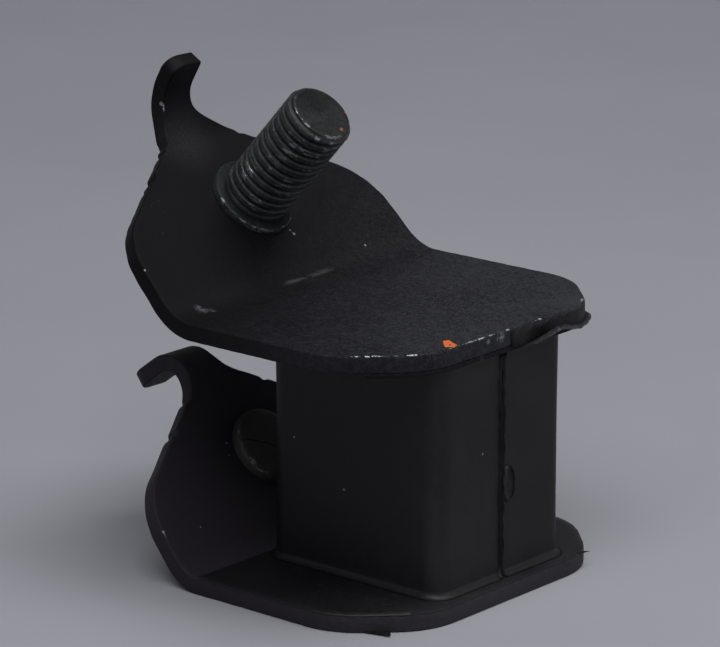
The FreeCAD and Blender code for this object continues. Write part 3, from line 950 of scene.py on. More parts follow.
    def outline(self) -> np.ndarray:
        """The blank's outline with its sheared edge's nicks and waviness.

        The two side lines make a ring, drawn in by smooth noise and by a bell curve of the
        distance to each notch.

        Returns:
            The closed ring, as points (s, y).
        """
        s, y = (np.concatenate([near, far[-2:0:-1]])
                for near, far in zip(self.side_line(-1.0), self.side_line(1.0)))
        ring = np.stack([s, y], axis=-1)
        inward = inward_normals(ring, np.array([self.length() * 0.4, 0.0]))
        clear_of_nose = s > self.nose_taper + 6
        push = self.waviness * (bumpiness(s, y, self.seed) + 0.6) * clear_of_nose
        for s0, y0, width, depth in self.notches:
            push = push + depth * np.exp(-((s - s0) ** 2 + (y - y0) ** 2) / width ** 2)
        return ring + inward * np.maximum(push, 0.0)[:, None]

    def build(self, finish: BlackPaint) -> bpy.types.Object:
        """Builds the plate as nested rings over both faces, joined by a rounded sheared edge.

        Ring k of a face is the outline drawn in towards the plate's spine, a line down its
        middle that keeps each point's own distance along the plate away from the ends; the
        edge is a quarter round above, a straight wall and a small round below.

        Args:
            finish: the plate's paint.

        Returns:
            The plate.
        """
        ring, length = self.outline(), self.length()
        s, y = ring[:, 0], ring[:, 1]
        from_nose, from_tip, along_tab = 10.0, 3.0, 12
        spine_s = np.clip(s, from_nose, length - from_tip)
        spine_y = np.interp(
            spine_s, [0, self.flange_place(self.shoulder), length - along_tab, length],
            [0, 0, self.tab_offset, self.tab_offset])
        spine = np.stack([spine_s, spine_y], axis=-1)
        inward = inward_normals(ring, spine)
        quarter = np.linspace(0, np.pi / 2, 5)
        inset = np.concatenate([self.roll * (1 - np.sin(quarter)),
                                self.burr * (1 - np.cos(quarter))])
        height = np.concatenate([-self.roll * (1 - np.cos(quarter)),
                                 -self.thickness + self.burr * (1 - np.sin(quarter))])
        edge = [self.lay(s + inward[:, 0] * i, y + inward[:, 1] * i, h)
                for i, h in zip(inset, height)]

        def face(start: np.ndarray, level: float, dish: float) -> list:
            """Rings of one face, from its rim to the spine.

            Args:
                start: the face's rim.
                level: height of the face over the upper one.
                dish: how far it sags where its unevenness is greatest.

            Returns:
                The rings, each an array of points.
            """
            rings = []
            for share in np.concatenate([[0.012, 0.03, 0.06], np.linspace(0.1, 1.0, 12)]):
                inner = start + (spine - start) * share
                uneven = 0.5 + 0.5 * bumpiness(*inner.T * 0.12, self.seed + 3)
                sag = -dish * np.minimum(share * 8, 1.0) * uneven
                rings.append(self.lay(inner[:, 0], inner[:, 1], level + sag))
            return rings

        above = face(ring + inward * inset[0], 0.0, self.dish)[::-1]
        rings = above + edge + face(ring + inward * inset[-1], -self.thickness, 0.0)
        rim = len(above)
        rub = np.zeros(len(ring))
        for spot, radius, strength in self.rubbed:
            away = np.linalg.norm(rings[rim + 1] - np.array(spot), axis=1) / radius
            rub = np.maximum(rub, strength * unit(1.2 - away))
        wear_and_highlight = np.zeros((len(rings), len(ring)))
        wear_and_highlight[rim - 1:rim - 1 + len(self.RIM_WEAR)] = np.outer(self.RIM_WEAR, 0.10 + rub)
        return build_piece(f"painted_{self.node}", np.concatenate(rings),
                           [grid_faces(*wear_and_highlight.shape, close_columns=True)], finish, [self.node],
                           wear_and_highlight.ravel(), sharp=40.0)


# ---------------------------------------------------------------- studs


@dataclass
class RivetedStud:
    """A threaded stud with a collar, riveted over on the flange's inner face."""

    node: str
    foot: Point
    angle: float
    length: float
    facing: float
    pitch: float = 1.75
    radius: float = 6.0
    depth: float = 0.66
    crest: float = 0.46
    flank: float = 0.44
    run_out: float = 1.2
    tip_slope: float = 0.80
    neck_radius: float = 5.0
    collar_radius: float = 7.5
    collar_height: float = 1.2
    grip: float = 2.9
    rivet_radius: float = 6.9
    rivet_height: float = 2.0
    around: int = 128
    thread_rows: int = 190

    def thread(self, theta: np.ndarray,
               z: np.ndarray) -> Tuple[np.ndarray, np.ndarray, np.ndarray]:
        """Radius, rubbed crests with painted highlight, and painted shade of the threaded shank.

        The height in the thread's tooth is the distance to the nearest crest of the helix,
        as a rounded triangle; it fades out at the run-out over the collar and is cut by the
        cone of the tip's chamfer.

        Args:
            theta: angle about the axis.
            z: height over the flange's outer face.

        Returns:
            Radii, the share of rubbed crest and painted highlight, and the share of painted shade
            of each point.
        """
        phase = z / self.pitch - theta / (2 * np.pi)
        tooth = np.abs((phase % 1.0) - 0.5) * 2.0
        flank = 0.5 - 0.5 * np.cos(np.pi * unit((1.0 - tooth - self.crest) / self.flank))
        fade = unit((z - self.collar_height - 0.5) / self.run_out)
        radius = self.radius - self.depth * (flank * fade + 0.25 * (1 - fade))
        cone = self.radius - self.depth - 0.05 + (self.length - z) * self.tip_slope
        # Painted highlight on the crests, on the side towards the light.
        lit = 0.30 + 0.75 * unit(np.cos(theta + 1.55 - 0.04 * (z - 3.0))) ** 2
        wear_and_highlight = unit(1.0 - flank * 2.2) * (0.35 + 0.65 * fade) * lit
        # Painted shade in the thread's valleys.
        painted_shade = unit(flank * 1.5 - 0.5) * fade * (radius < cone) * 0.65
        return np.minimum(radius, cone), wear_and_highlight, painted_shade

    def build(self, finish: PhosphatedSteel) -> bpy.types.Object:
        """Builds the stud as one surface of turning whose shank follows the thread's helix.

        Each row of head and tip is a radius, a height over the flange's outer face and a
        share of painted glint, which is strongest on the side that faces the light.

        Args:
            finish: the stud's coat.

        Returns:
            The stud.
        """
        theta = np.linspace(0, 2 * np.pi, self.around, endpoint=False)
        end, grip, top = -(self.grip + self.rivet_height), -self.grip, self.collar_height
        rivet, neck, collar = self.rivet_radius, self.neck_radius, self.collar_radius
        blunt, length = self.radius - self.depth + 0.08, self.length
        head_r, head_z, head_glint_rows = np.array([
            (0.3, end, 0.02), (rivet - 1.6, end, 0.05), (rivet - 0.75, end + 0.1, 0.45),
            (rivet - 0.25, end + 0.38, 0.5), (rivet, end + 0.8, 0.1), (rivet, grip, 0.0),
            (neck, grip, 0.0), (neck, 0.0, 0.0), (collar, 0.0, 0.05), (collar, top - 0.45, 0.5),
            (collar - 0.12, top - 0.18, 1.0), (collar - 0.4, top, 0.25),
            (self.radius - 0.1, top, 0.05), (self.radius - 0.5, top + 0.1, 0.0)]).T[..., None]
        tip_r, tip_z, tip_glint_rows = np.array([
            (blunt - 0.05, length - 0.12, 1.6), (blunt - 0.22, length, 1.5),
            (blunt - 0.6, length - 0.02, 0.06), (blunt * 0.5, length - 0.06, 0.02),
            (0.25, length - 0.08, 0.0)]).T[..., None]
        shank_z = np.linspace(top + 0.2, length - 0.25, self.thread_rows)[:, None]
        shank_r, shank_wear_and_glint, shank_shade = self.thread(theta, shank_z)
        outer = head_z > 0
        # Painted glints on the collar's and the rivet head's rims, on the side towards the light.
        glow = unit(np.cos(theta + np.where(outer, 0.55, 1.96))) ** 1.4
        head_glint = head_glint_rows * (0.40 + np.where(outer, 3.4, 1.0) * glow)
        # Painted shade at the shank's root and, lighter, over the collar.
        under_shank = (head_z > top - 0.05) & (head_r < collar - 0.3)
        head_shade = np.where(under_shank, 0.8, 0.35 * outer)
        # Painted glint on the tip's rim, and painted shade on its end face, darker on the side away
        # from the light.
        tip_glint = tip_glint_rows * (0.3 + 1.6 * unit(np.cos(theta + 1.2) + 0.2))
        tip_shade = 0.50 + 0.25 * unit(-np.cos(theta)) * (tip_glint_rows < 0.1)
        r, z, wear_and_highlight, painted_shade = (
            np.concatenate([block + 0 * theta for block in blocks])
            for blocks in ((head_r, shank_r, tip_r), (head_z, shank_z, tip_z),
                           (head_glint, shank_wear_and_glint, tip_glint),
                           (head_shade, shank_shade, tip_shade)))
        wave = 1.0 + 0.004 * np.sin(3 * theta + 0.7) * (z < 0.5)
        body = np.stack([r * wave * np.cos(theta), r * wave * np.sin(theta), z], axis=-1)
        ends = np.array([[0.0, 0.0, z[0, 0]], [0.0, 0.0, z[-1, 0]]])
        return build_swept(f"threaded_{self.node}", self._seat(body), finish, [self.node], wear_and_highlight,
                           painted_shade, self._seat(ends), sharp=46.0)

    def _seat(self, local: np.ndarray) -> np.ndarray:
        """Turns points about Y by the flange's angle, faces them outwards and sets them down.

        Args:
            local: points about the stud's own axis, which is Z.

        Returns:
            Points in the mount's own frame.
        """
        turn = math.radians(self.angle) + (math.pi if self.facing < 0 else 0.0)
        x = local[..., 0] * math.cos(turn) + local[..., 2] * math.sin(turn)
        z = -local[..., 0] * math.sin(turn) + local[..., 2] * math.cos(turn)
        return np.stack([x, local[..., 1], z], axis=-1) + np.array(self.foot)


# ---------------------------------------------------------------- rubber


@dataclass
class RubberMoulding:
    """The rubber column with its foot and neck, its mould seam and its gate mark."""

    SIDE_POINTS: ClassVar[int] = 47
    ARC_POINTS: ClassVar[int] = 13
    # Painted highlight along the top of the foot's fillet, row by row from the bottom.
    FOOT_HIGHLIGHT: ClassVar[Tuple[float, ...]] = (0.0, 0.0, 0.0, 0.0, 0.0, 0.1, 0.5, 1.0, 0.5, 0.1)
    # Painted shade: the dark line under the foot, row by row from the bottom.
    FOOT_SHADE: ClassVar[Tuple[float, ...]] = (1.0, 0.9, 0.6, 0.3, 0.1)
    bottom: float = 2.9
    height: float = 39.4
    half_length: float = 18.25
    half_width: float = 16.55
    corner: float = 3.4
    foot: float = 1.2
    lower_skin: float = 0.3
    upper_skin: float = 0.8
    neck: float = 0.44
    draw_in: float = 0.10
    seam_sideways: float = -0.4
    gate_sideways: float = 1.2
    gate_level: float = 16.0

    def _column_ring(self, grow: float) -> np.ndarray:
        """Rounded rectangle of the column, grown outwards, as x, y points.

        Four quarter circles of the corner radius plus grow, joined by divided straight sides.

        Args:
            grow: how far outside the column the ring lies.

        Returns:
            The closed ring, anticlockwise.
        """
        inner = np.array([self.half_length - self.corner, self.half_width - self.corner])
        radius = self.corner + grow
        arc = np.linspace(0, np.pi / 2, self.ARC_POINTS)
        run = np.linspace(0, 1, self.SIDE_POINTS + 2)[1:-1, None]
        signs = np.array([(1, 1), (-1, 1), (-1, -1), (1, -1)])
        blocks = []
        for quarter, sign in enumerate(signs):
            a = arc + quarter * np.pi / 2
            bend = sign * inner + radius * np.stack([np.cos(a), np.sin(a)], axis=-1)
            end = (quarter + 1) * np.pi / 2
            stop = signs[(quarter + 1) % 4] * inner + radius * np.array([np.cos(end), np.sin(end)])
            blocks += [bend, bend[-1] + (stop - bend[-1]) * run]
        return np.concatenate(blocks)

    def build_column(self, finish: MouldedRubber) -> bpy.types.Object:
        """Builds the column with its neck and foot as rings of a rounded rectangle.

        The foot and the neck are quarter circles that flare outwards; the walls draw in by a
        few hundredths at mid height.

        Args:
            finish: the rubber's finish.

        Returns:
            The column.
        """
        quarter = np.linspace(0, np.pi / 2, 9)
        foot_z = self.lower_skin + self.foot * (1 - np.cos(quarter))
        neck_z = self.height - self.upper_skin - self.neck + self.neck * np.sin(quarter)
        wall_z = np.linspace(foot_z[-1], neck_z[0], 40)[1:-1]
        share = (wall_z - wall_z[0]) / (wall_z[-1] - wall_z[0])
        grow = np.concatenate([[self.foot + 0.02], self.foot * (1 - np.sin(quarter)),
                               -self.draw_in * np.sin(np.pi * share),
                               self.neck * (1 - np.cos(quarter)), [self.neck]])
        z = np.concatenate([[0.0], foot_z, wall_z, neck_z, [self.height]])
        rings = np.stack([self._column_ring(g) for g in grow])
        level = np.broadcast_to((z + self.bottom)[:, None], rings.shape[:2])
        swell = 0.05 * bumpiness(rings[..., 0] * 0.10 + rings[..., 1] * 0.13, level * 0.11, 5)
        outward = rings / np.array([self.half_length, self.half_width])
        rings[1:-1] += (outward * swell[..., None])[1:-1]
        wear_and_highlight, painted_shade = np.zeros(len(z)), np.zeros(len(z))
        wear_and_highlight[:len(self.FOOT_HIGHLIGHT)] = self.FOOT_HIGHLIGHT
        painted_shade[:len(self.FOOT_SHADE)] = self.FOOT_SHADE
        # Painted sheen down the front corner between the -Y and +X faces.
        corner = unit(1 - np.hypot(rings[..., 0] - self.half_length + 1.2,
                                   rings[..., 1] + self.half_width - 0.6) / 2.4)
        ends = np.array([[0, 0, self.bottom], [0, 0, self.bottom + self.height]])
        return build_swept("rubber_column", np.concatenate([rings, level[..., None]], axis=-1),
                           finish, ["rubber_block"], np.maximum(wear_and_highlight[:, None], corner * 0.7),
                           np.repeat(painted_shade, rings.shape[1]), ends)

    def build_seam(self, finish: MouldedRubber) -> bpy.types.Object:
        """Builds the mould seam on both ends: two thin ridges of flash with a groove between.

        The section is a double hump carried down the block; its height and place wander, and
        it widens towards the top.

        Args:
            finish: the rubber's finish.

        Returns:
            The seam on both end faces, as one piece.
        """
        z = np.linspace(0.6, self.height - self.upper_skin, 150)
        across = np.array([-0.62, -0.55, -0.42, -0.3, -0.16, 0.0, 0.16, 0.3, 0.42, 0.55, 0.62])
        rise = np.array([-0.3, 0.05, 0.42, 0.40, 0.10, 0.02, 0.10, 0.38, 0.40, 0.05, -0.3])
        zz, yy = np.meshgrid(z, across, indexing="ij")
        ragged = bumpiness(zz * 1.3, yy * 2.0, 11) + 0.5 * bumpiness(zz * 0.5, yy, 13)
        height = np.minimum(rise * (0.90 + 0.34 * ragged), 0.48)
        flare = unit(1.0 - (zz - 0.6) / 2.2) ** 2
        wander = 0.16 * bumpiness(zz * 0.35, 0 * zz, 12)
        wide = 1 + flare * 0.8 + 0.55 * unit((zz - self.height + 14.0) / 5.0)
        quads, size = grid_faces(*zz.shape), zz.size
        points, faces = [], []
        for index, side in enumerate((1.0, -1.0)):
            x = side * (self.half_length + height + flare * self.foot * 0.55)
            sheet = np.stack([x, yy * wide * side + wander + self.seam_sideways,
                              zz + self.bottom], axis=-1)
            back = sheet.copy()
            back[..., 0] = side * (self.half_length - 0.5)
            first = index * 2 * size
            points += [sheet.reshape(-1, 3), back.reshape(-1, 3)]
            faces += [quads + first, quads[:, ::-1] + first + size,
                      self._rim(*zz.shape) + first]
        # Painted shade in the groove and at the seam's top under the upper plate; painted highlight
        # on one ridge.
        valley_shade = np.maximum(unit(1.25 - np.abs(yy + 0.10) / 0.34),
                            unit((zz - self.height + 2.0) / 0.8))
        ridge_highlight = unit(1.0 - np.abs(yy - 0.40) / 0.16) * (0.6 + 0.5 * ragged)
        ridge_highlight = unit(ridge_highlight) * (valley_shade < 0.9)
        return build_piece("mould_seam", np.concatenate(points), faces, finish, ["rubber_block"],
                           np.tile(ridge_highlight.ravel(), 4), np.tile(valley_shade.ravel(), 4))

    @staticmethod
    def _rim(rows: int, columns: int) -> np.ndarray:
        """Quads that join the borders of two matching sheets, numbered one after the other.

        Args:
            rows: points down a sheet.
            columns: points across it.

        Returns:
            One row of four point numbers per quad.
        """
        grid = np.arange(rows * columns).reshape(rows, columns)
        border = np.concatenate([grid[0, :-1], grid[:-1, -1], grid[-1, :0:-1], grid[:0:-1, 0]])
        after = np.roll(border, -1)
        return np.stack([after, border, border + grid.size, after + grid.size], axis=-1)

    def build_gate(self, finish: MouldedRubber) -> bpy.types.Object:
        """Builds the gate mark: a low oval button with a sunken, broken middle.

        Rings of an oval climb to a rim and dip in the middle. Its left rim gets a painted highlight
        and a crescent of painted shade lies round its right side.

        Args:
            finish: the rubber's finish.

        Returns:
            The gate mark.
        """
        theta = np.linspace(0, 2 * np.pi, 48, endpoint=False)
        share, rise, moat_shadow, glint = np.array([
            (1.02, -0.4, 1.0, 0.0), (1.0, 0.12, 1.0, 0.2), (0.97, 0.30, 1.0, 0.8),
            (0.9, 0.48, 1.0, 1.0), (0.8, 0.52, 0.9, 0.5), (0.68, 0.44, 0.45, 0.0),
            (0.52, 0.30, 0.1, 0.0), (0.36, 0.24, 0.0, 0.0), (0.18, 0.26, 0.0, 0.0)]).T[..., None]
        cos, sin = np.cos(theta), np.sin(theta)
        rough = 0.10 * bumpiness(3 * cos * share, 5 * sin * share, 21)
        face, level = self.half_length, self.bottom + self.gate_level
        x = np.minimum(face + rise + np.where(share < 0.95, rough, 0.0), face + 0.9)
        y = share * 1.6 * cos * np.abs(cos) ** -0.15 * 0.95 + self.gate_sideways
        body = np.stack([x, y, share * 3.1 * sin + level], axis=-1)
        ends = np.array([[face - 0.4, self.gate_sideways, level],
                         [face + 0.18, self.gate_sideways, level]])
        # Painted shade on the button's right side, painted highlight on its left rim.
        right = unit(np.cos(theta - 0.15) * 1.8 + 0.25)
        left = unit(-np.cos(theta + 0.2) * 2.0 - 0.6)
        return build_swept("gate_mark", body, finish, ["rubber_block"], glint * left,
                           moat_shadow * right, ends)


@dataclass
class SkinSheet:
    """A thin rubber skin that ends flush with a plate's nose."""

    name: str
    plate: BentPlate
    thickness: float
    level: float
    back: float
    ragged: float
    seed: int
    droop: float = 0.0
    # Share of painted shade over the whole skin, for a skin that lies in shadow under a plate.
    dark: float = 0.0

    def outline(self) -> np.ndarray:
        """The plate's nose, cut straight across at the back.

        Returns:
            The closed outline, as x, y points.
        """
        lines = []
        for side in (-1.0, 1.0):
            s, y = self.plate.side_line(side, 0.4)
            x = self.plate.nose - s
            keep = x >= self.back
            lines.append(np.stack([x[keep], y[keep] + self.plate.sideways], axis=-1))
        ring = np.concatenate([lines[0][::-1], lines[1][1:]])
        return np.concatenate([ring, np.linspace(ring[-1], ring[0], 40)[1:-1]])

    def build(self, finish: MouldedRubber) -> bpy.types.Object:
        """Builds the skin as a slab whose free edge is uneven.

        The outline is drawn in by smooth noise and may hang down over the plate. Each ring is
        the outline drawn in towards the middle by a share, at a height less some of the droop.

        Args:
            finish: the rubber's finish.

        Returns:
            The skin.
        """
        ring = self.outline()
        centre = ring.mean(axis=0)
        free = ring[:, 0] > self.back + 0.3
        push = self.ragged * (bumpiness(ring[:, 0] * 1.5, ring[:, 1] * 1.5, self.seed) - 0.6) * free
        edge = ring - inward_normals(ring, centre) * np.minimum(push, -0.005)[:, None]
        soft = min(0.2, self.thickness * 0.35)
        low, high = self.level, self.level + self.thickness
        share, z, hang = np.array([
            (0.6, low, 0.0), (0.2, low, 0.0), (0.08, low, 0.3), (soft * 0.04, low, 1.0),
            (0.0, low + soft, 1.0), (0.0, high - soft, 0.8), (soft * 0.04, high, 0.6),
            (0.05, high, 0.0), (0.6, high, 0.0)]).T[..., None]
        xy = edge + (centre - edge) * share[..., None]
        body = np.concatenate([xy, (z - self.droop * free * hang)[..., None]], axis=-1)
        wear_and_highlight = np.zeros(body.shape[:2])
        wear_and_highlight[3:6] = 0.4 if self.dark == 0.0 else 0.0
        return build_swept(self.name, body, finish, ["rubber_block"], wear_and_highlight,
                           np.full(wear_and_highlight.shape, self.dark),
                           np.array([[*centre, low], [*centre, high]]), self.dark)


@dataclass
class NoseFlash:
    """Rubber flash on the upper plate's nose: a thin wash over its edge and a torn flap below."""

    # Wash section: share outwards, share up, share of painted shade.
    WASH: ClassVar[Tuple[Tuple[float, ...], ...]] = (
        (-0.3, 0.0, 0.5), (0.55, 0.0, 0.5), (1.0, 0.25, 0.3), (1.0, 0.75, 0.05),
        (0.55, 0.97, 0.1), (-0.3, 1.0, 0.2))
    # Flap section: share outwards, height, share of torn face with painted highlight, share of
    # painted shade.
    FLAP: ClassVar[Tuple[Tuple[float, ...], ...]] = (
        (-0.5, 0.25, 0.1, 1.0), (0.55, 0.25, 0.5, 0.5), (0.95, 0.05, 1.0, 0.0),
        (1.0, -0.2, 0.8, 0.0), (0.9, -0.45, 0.3, 0.0), (0.4, -0.45, 0.0, 0.3),
        (-0.5, -0.45, 0.0, 0.5))
    plate: BentPlate
    start: float = 0.7
    end: float = 27.6
    under: float = 42.3
    stations: int = 150

    def _path(self) -> Tuple[np.ndarray, np.ndarray, np.ndarray]:
        """Even stations along the nose's edge from start to end.

        Returns:
            Places (x, y), outward directions and shares of the way, 0 to 1.
        """
        s, y = self.plate.side_line(1.0, 0.2)
        line = np.stack([self.plate.nose - s, y + self.plate.sideways], axis=-1)
        line = line[(s < self.plate.nose_taper) & (line[:, 1] > self.start)
                    & (line[:, 1] < self.end)]
        run = distances(line)
        even = np.linspace(0, run[-1], self.stations)
        place = np.stack([np.interp(even, run, line[:, k]) for k in (0, 1)], axis=-1)
        way = np.gradient(place, axis=0)
        way /= np.linalg.norm(way, axis=1, keepdims=True)
        return place, np.stack([way[:, 1], -way[:, 0]], axis=-1), even / run[-1]

    def _sweep(self, name: str, offset: np.ndarray, level: np.ndarray, finish: MouldedRubber,
               wear_and_highlight: np.ndarray, painted_shade: np.ndarray) -> bpy.types.Object:
        """Carries sections along the nose's edge.

        Args:
            name: the piece's name.
            offset: how far outside the edge each point lies, stations by points.
            level: its height, stations by points.
            finish: the rubber's finish.
            wear_and_highlight: rubbed share and painted highlight of each point.
            painted_shade: share of painted shade at each point.

        Returns:
            The piece.
        """
        place, out, _ = self._path()
        xy = place[:, None, :] + out[:, None, :] * offset[..., None]
        body = np.concatenate([xy, level[..., None]], axis=-1)
        return build_swept(name, body, finish, ["rubber_block"], wear_and_highlight, painted_shade)

    def build_wash(self, finish: MouldedRubber) -> bpy.types.Object:
        """Builds the wash: a skin of uneven thickness whose upper rim wanders.

        Each point of the section is a share of the thickness outwards, a share of the height
        up and a share of painted shade.

        Args:
            finish: the unbroken wash's finish.

        Returns:
            The wash.
        """
        share = self._path()[2][:, None]
        out, up, dark = np.array(self.WASH).T
        ragged, fine = bumpiness(share * 26, share * 3, 41), bumpiness(share * 70, share * 9, 42)
        fade = unit(share * 14) * unit((1 - share) * 14)
        rim = self.under + 2.35 + 0.22 * ragged + 0.10 * fine
        thick = (0.14 + 0.05 * ragged) * fade + 0.01
        low = self.under - 0.35
        # Painted shade in the shadowed recess above the flap, and at the wash's start.
        dark = dark + np.where(np.arange(len(dark)) < 4, 0.75, 0.0) * bell(share, 0.27, 0.13)
        dark = dark + 0.45 * bell(share, 0.0, 0.03)
        return self._sweep("nose_wash", thick * out - 0.02, low + (rim - low) * up, finish,
                           0 * dark, unit(dark))

    def build_flap(self, finish: MouldedRubber) -> bpy.types.Object:
        """Builds the flap: a ribbon with a jagged outer rim.

        It leaves the plate gradually, climbs over its edge for a while, swells towards the far
        corner and ends in a blunt tip. Each point of the section is a share of the reach
        outwards, a height, a share of torn face with painted highlight and a share of painted
        shade.

        Args:
            finish: the torn rubber's finish.

        Returns:
            The flap.
        """
        share = self._path()[2][:, None]
        out, up, rub, dark = np.array(self.FLAP).T
        ragged, fine = bumpiness(share * 26, share * 3, 41), bumpiness(share * 70, share * 9, 42)
        swell = unit((share - 0.08) / 0.22) * (0.55 + 0.45 * unit(share * 1.3))
        reach = swell * (0.75 + 0.16 * ragged + 0.10 * fine) * unit((1 - share) * 16) ** 0.5
        reach = np.clip(reach * (1 + 0.9 * bell(share, 0.93, 0.07)), 0.02, 1.45)
        sink = 0.35 + 0.30 * np.sin(np.pi * share) + 0.12 * ragged
        climb = 1.25 * bell(share, 0.45, 0.16) - 0.25 * unit(1 - share * 5)
        level = self.under - 0.35 + climb - sink * unit(out)
        level = level + up * 0.7 * unit(swell * 1.5 + 0.15)
        # Painted highlight along the flap's rim, strongest where it climbs over the edge; the last
        # column is painted shade under the flap.
        lit = swell * (0.35 + 0.75 * bell(share, 0.42, 0.16))
        return self._sweep("torn_flap", reach * out, level, finish, rub * lit, dark + 0 * share)


@dataclass
class Burr:
    """A thin sliver of flash with a pointed end."""

    name: str
    root: Tuple[Point, Point]
    tip: Point
    thickness: float = 0.3

    def build(self, finish: MouldedRubber) -> bpy.types.Object:
        """Builds the sliver: diamond sections that shrink from the root's width to the tip.

        Args:
            finish: the rubber's finish.

        Returns:
            The sliver.
        """
        share = np.linspace(0.0, 0.97, 9)[:, None, None]
        first, second = np.array(self.root)
        middle, lift = (first + second) / 2, np.array([0.0, 0.0, self.thickness / 2])
        root = np.stack([first, middle + lift, second, middle - lift])[None]
        curl = np.sin(share * 2.2) * np.array([0.0, 0.0, 0.12])
        body = root + (np.array(self.tip) - root) * share + curl
        body[..., 2] = np.maximum(body[..., 2], 0.02)
        return build_swept(self.name, body, finish, ["rubber_block"])


# ---------------------------------------------------------------- stage


@dataclass(frozen=True)
class Studio:
    """Pale floor and backdrop, soft light, and the camera. Its places are in metres."""

    floor: Colour = (0.380, 0.380, 0.416)
    # Darker floor colour behind: painted falloff of the light.
    floor_dimmed_behind: Colour = (0.252, 0.257, 0.294)
    half_floor: float = 6.0
    horizon: Colour = (0.33, 0.335, 0.37)
    overhead: Colour = (0.05, 0.052, 0.058)
    lamps: Tuple[Tuple[str, Point, float, float], ...] = (
        ("soft_key", (0.42, 0.42, 1.85), 1.1, 18.8),
        ("soft_front", (0.45, -0.95, 1.9), 1.6, 22.0),
        ("soft_side", (1.6, 0.5, 0.6), 1.0, 3.0))
    lit_spot: Point = (-0.015, 0.0, 0.04)
    camera_place: Point = (0.414569, -0.502889, 0.225236)
    looking: Point = (-0.623184, 0.734207, -0.269410)
    lens: float = 206.036
    sensor: float = 36.0
    clipping: Tuple[float, float] = (0.01, 50.0)

    def build(self) -> None:
        """Builds the floor, the world, the lamps and the camera."""
        self._floor()
        self._world()
        for name, place, size, power in self.lamps:
            self._lamp(name, place, size, power)
        self._camera()

    def _floor(self) -> None:
        """A wide floor that meets the horizon, with the light's falloff painted into its colour."""
        mesh, half = bpy.data.meshes.new("floor"), self.half_floor
        mesh.from_pydata([(-half, -half, 0), (half, -half, 0), (half, half, 0), (-half, half, 0)],
                         [], [(0, 1, 2, 3)])
        floor = add_object("floor", mesh)
        g = Graph.of_material("pale_floor")
        cloud = (g.noise(9.0, 3.0, 0.55) - 0.5) * 0.5
        # Painted falloff: the floor darkens towards the back and the left.
        far = (g.axis("Y") - g.axis("X") * 1.5).ramp(-900.0, 1600.0)
        colour = g.blend(far + cloud, self.floor, self.floor_dimmed_behind)
        mesh.materials.append(g.surface(Base_Color=colour, Roughness=0.7, Specular_IOR_Level=0.25))

    def _world(self) -> None:
        """A pale surround that darkens overhead."""
        world = bpy.data.worlds.new("surround")
        bpy.context.scene.world = world
        g = Graph(world)
        way = g.node("ShaderNodeTexCoord", output="Generated")
        height = g.node("ShaderNodeSeparateXYZ", inputs={0: way}, output="Z")
        colour = g.blend(height.ramp(0.0, 0.55), self.horizon, self.overhead)
        g.end("ShaderNodeOutputWorld", g.node("ShaderNodeBackground", inputs={"Color": colour}))

    def _lamp(self, name: str, place: Point, size: float, power: float) -> None:
        """A square soft lamp that faces the mount.

        Args:
            name: the lamp's name.
            place: where it hangs.
            size: its side.
            power: its power, in watts.
        """
        data = bpy.data.lights.new(name, "AREA")
        data.size, data.energy = size, power
        way = Vector(self.lit_spot) - Vector(place)
        add_object(name, data).matrix_world = looking_along(place, way)

    def _camera(self) -> None:
        """The camera, level and looking slightly down."""
        data = bpy.data.cameras.new("camera")
        data.sensor_width, data.lens = self.sensor, self.lens
        data.clip_start, data.clip_end = self.clipping
        camera = add_object("camera", data)
        camera.matrix_world = looking_along(self.camera_place, Vector(self.looking))
        bpy.context.scene.camera = camera


# ---------------------------------------------------------------- the mount


def upper_plate() -> BentPlate:
    """Sizes the upper pressing, whose tab curls towards its stud.

    Returns:
        The plate.
    """
    return BentPlate(
        node="upper_plate", crease=26.094, nose=18.8, sideways=1.2, top=45.2, angle=42.5,
        bend_radius=9.5, shoulder=16.3, near_draft=1.9, near_apex=37.3, far_apex=37.8,
        tab_width=6.8, tab_offset=-2.9, hook_start=31.0, hook_radius=8.4, hook_turn=77.5,
        hook_leg=3.9, tip_radius=2.5, hook_forward=True, seed=3,
        notches=((76.9, -7.6, 0.7, 0.45), (75.7, -9.0, 0.5, 0.4), (71.3, -15.4, 0.7, 0.55),
                 (70.0, -17.3, 0.5, 0.35), (75.6, 9.9, 0.6, 0.4), (0.0, -0.1, 0.6, 0.16)),
        rubbed=(((11.5, -26.0, 45.2), 4.5, 0.75), ((16.0, -21.0, 45.2), 4.0, 0.6),
                ((18.4, -13.0, 45.2), 4.0, 0.55), ((18.8, -6.0, 45.2), 5.5, 0.80),
                ((18.8, 0.6, 45.2), 1.4, 1.0), ((18.8, 8.6, 45.2), 1.1, 1.0),
                # The patch on the hook's near edge, at (-51.7, -5.1, 72.7), is a painted glint; the
                # others are rubbed paint.
                ((16.6, 23.4, 45.2), 1.7, 1.0), ((-51.7, -5.1, 72.7), 1.1, 0.9)))


def lower_plate() -> BentPlate:
    """Sizes the lower pressing, whose tab curls away from its flange.

    Returns:
        The plate.
    """
    return BentPlate(
        node="lower_plate", crease=22.316, nose=21.0, sideways=-0.8, top=2.9, angle=49.5,
        bend_radius=6.0, shoulder=14.0, near_draft=0.4, near_apex=35.9, far_apex=33.5,
        tab_width=7.9, tab_offset=-3.5, hook_start=33.3, hook_radius=2.9, hook_turn=86.0,
        hook_leg=7.7, tip_radius=4.5, hook_forward=False, seed=8,
        notches=((71.8, -10.1, 0.6, 0.40), (66.7, -17.3, 0.7, 0.60), (71.2, 8.6, 0.6, 0.5)),
        rubbed=(((-27.4, -32.4, 8.9), 1.4, 0.22), ((-25.6, -32.5, 7.2), 1.2, 0.24),
                ((-23.4, -32.5, 4.4), 1.5, 0.20)))


